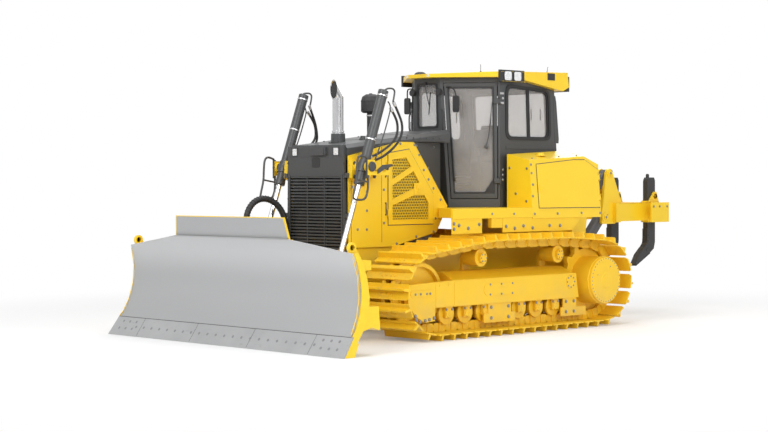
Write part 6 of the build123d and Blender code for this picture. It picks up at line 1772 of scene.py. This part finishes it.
class BULLDOZER_OT_ripper(bpy.types.Operator):
    """Adds the pins, bosses, keepers and weld beads of the ripper"""

    bl_idname = "bulldozer.ripper"
    bl_label = "Ripper"

    def execute(self, context):
        bolt = context.scene.bulldozer_sizes.bolt_head
        frame_parts, tips, heads = Forge(), Forge(), Forge()
        for x, z, radius in LINK_PINS:
            frame_parts.turned((x, 0.640, z), (0, 1, 0),
                    ((0, radius), (0.012, radius - 0.004), (0.012, 0.036),
                    (0.026, 0.033), (0.026, 0.0)), 28)
            heads.bolt((x, 0.665, z), (0, 1, 0), bolt)
            heads.bolt((x - 0.040, 0.651, z + 0.030), (0, 1, 0), bolt * 0.7)
        for y in SHANKS_Y:
            for sign in (-1, 1):
                face = y + sign * 0.060
                frame_parts.turned((SHANK_PIN[0], face, SHANK_PIN[1]), (0, sign, 0),
                        ((0, 0.038), (0.010, 0.036), (0.010, 0.022), (0.020, 0.020), (0.020, 0.0)), 24)
                frame_parts.rod((-3.640, y + sign * 0.0605, 1.5565), (-3.400, y + sign * 0.0605, 1.5565),
                        0.006, 8)
        for x in (-3.600, -3.430, -3.300):
            heads.bolt((x, 0.875, 1.500), (0, 1, 0), bolt)
        for sign in (-1, 1):
            frame_parts.rod((-3.460, sign * 0.7005, 1.552), (-2.765, sign * 0.7005, 1.552), 0.005, 8)
        heads.mirror()
        heads.finish("ripper_bolts", "ripper", "bolt", 0.001)
        frame_parts.mirror()
        frame_parts.finish("ripper_pins", "ripper", "yellow", 0.001)
        for y in SHANKS_Y:                          # forged points and shin guards on the shanks
            point = [(-3.150, 0.680), (-3.135, 0.712), (-3.215, 0.832), (-3.330, 0.930), (-3.420, 0.880),
                    (-3.470, 0.845)]
            tips.prism([(x, y - 0.047, z) for x, z in point], (0, 0.094, 0))
            shin = [(-3.402, 1.190), (-3.402, 1.060), (-3.392, 0.990), (-3.306, 0.900), (-3.330, 0.884),
                    (-3.424, 0.984), (-3.440, 1.190)]
            tips.prism([(x, y - 0.045, z) for x, z in shin], (0, 0.090, 0))
            for z in (1.10, 1.02):
                tips.rod((-3.430, y - 0.050, z), (-3.430, y + 0.050, z), 0.014, 12)
            tips.turned((-3.385, y - 0.052, 0.898), (0, 1, 0), ((0, 0.015), (0.104, 0.015)), 14)
            eye = [(-3.485, 1.898), (-3.485, 1.935), (-3.470, 1.950), (-3.448, 1.950), (-3.436, 1.935),
                   (-3.436, 1.898)]
            tips.prism([(x, y - 0.012, z) for x, z in eye], (0, 0.024, 0))
        tips.finish("shank_points", "ripper", "shank", 0.003)
        return {"FINISHED"}


class BULLDOZER_OT_hoses(bpy.types.Operator):
    """Runs the hose bundle that arches up from the push frame to the blade's cylinders"""

    bl_idname = "bulldozer.hoses"
    bl_label = "Hose bundle"

    def execute(self, context):
        arch = Forge()
        route = [(2.460, -0.540, 0.560), (2.520, -0.540, 0.800), (2.700, -0.575, 1.150),
                (2.740, -0.600, 1.450),
                (2.600, -0.585, 1.650), (2.380, -0.550, 1.670), (2.195, -0.500, 1.500), (2.185, -0.470,
                1.220), (2.210, -0.440, 0.900), (2.300, -0.420, 0.535)]
        line = smooth_line(route, 4, 10)
        arch.pipe(line, 0.036, 18)
        length = 0.0
        for a, b in zip(line, line[1:]):            # the sleeve's ribs
            length += (b - a).length
            if length > 0.024:
                arch.turned(a, b - a, ((-0.004, 0.036), (-0.002, 0.0405), (0.002, 0.0405), (0.004, 0.036)),
                        18)
                length = 0.0
        arch.finish("hose_sleeve", "push_frame", "rubber", 0.0)
        return {"FINISHED"}


OPERATORS = [BULLDOZER_OT_stage, BULLDOZER_OT_finishes, BULLDOZER_OT_frame, BULLDOZER_OT_tracks,
        BULLDOZER_OT_running_gear, BULLDOZER_OT_blade, BULLDOZER_OT_rams, BULLDOZER_OT_hull,
        BULLDOZER_OT_front, BULLDOZER_OT_cab, BULLDOZER_OT_tanks, BULLDOZER_OT_ripper,
        BULLDOZER_OT_hoses]


class BULLDOZER_PT_panel(bpy.types.Panel):
    """Lists the machine's colours, sizes and building steps"""

    bl_idname = "BULLDOZER_PT_panel"
    bl_label = "Crawler Bulldozer"
    bl_space_type = "VIEW_3D"
    bl_region_type = "UI"
    bl_category = "Bulldozer"

    def draw(self, context):
        for group in (context.scene.bulldozer_colours, context.scene.bulldozer_sizes):
            box = self.layout.box()
            for key in group.__annotations__:
                box.prop(group, key)
        for operator in OPERATORS:
            self.layout.operator(operator.bl_idname)


CLASSES = [BulldozerColours, BulldozerSizes, *OPERATORS, BULLDOZER_PT_panel]


def register():
    for cls in CLASSES:
        bpy.utils.register_class(cls)
    bpy.types.Scene.bulldozer_colours = PointerProperty(type=BulldozerColours)
    bpy.types.Scene.bulldozer_sizes = PointerProperty(type=BulldozerSizes)


def unregister():
    del bpy.types.Scene.bulldozer_sizes
    del bpy.types.Scene.bulldozer_colours
    for cls in reversed(CLASSES):
        bpy.utils.unregister_class(cls)


def build_bulldozer():
    """Runs every step in order."""
    register()
    for operator in OPERATORS:
        group, name = operator.bl_idname.split(".")
        getattr(getattr(bpy.ops, group), name)()


if __name__ == "__main__":
    build_bulldozer()
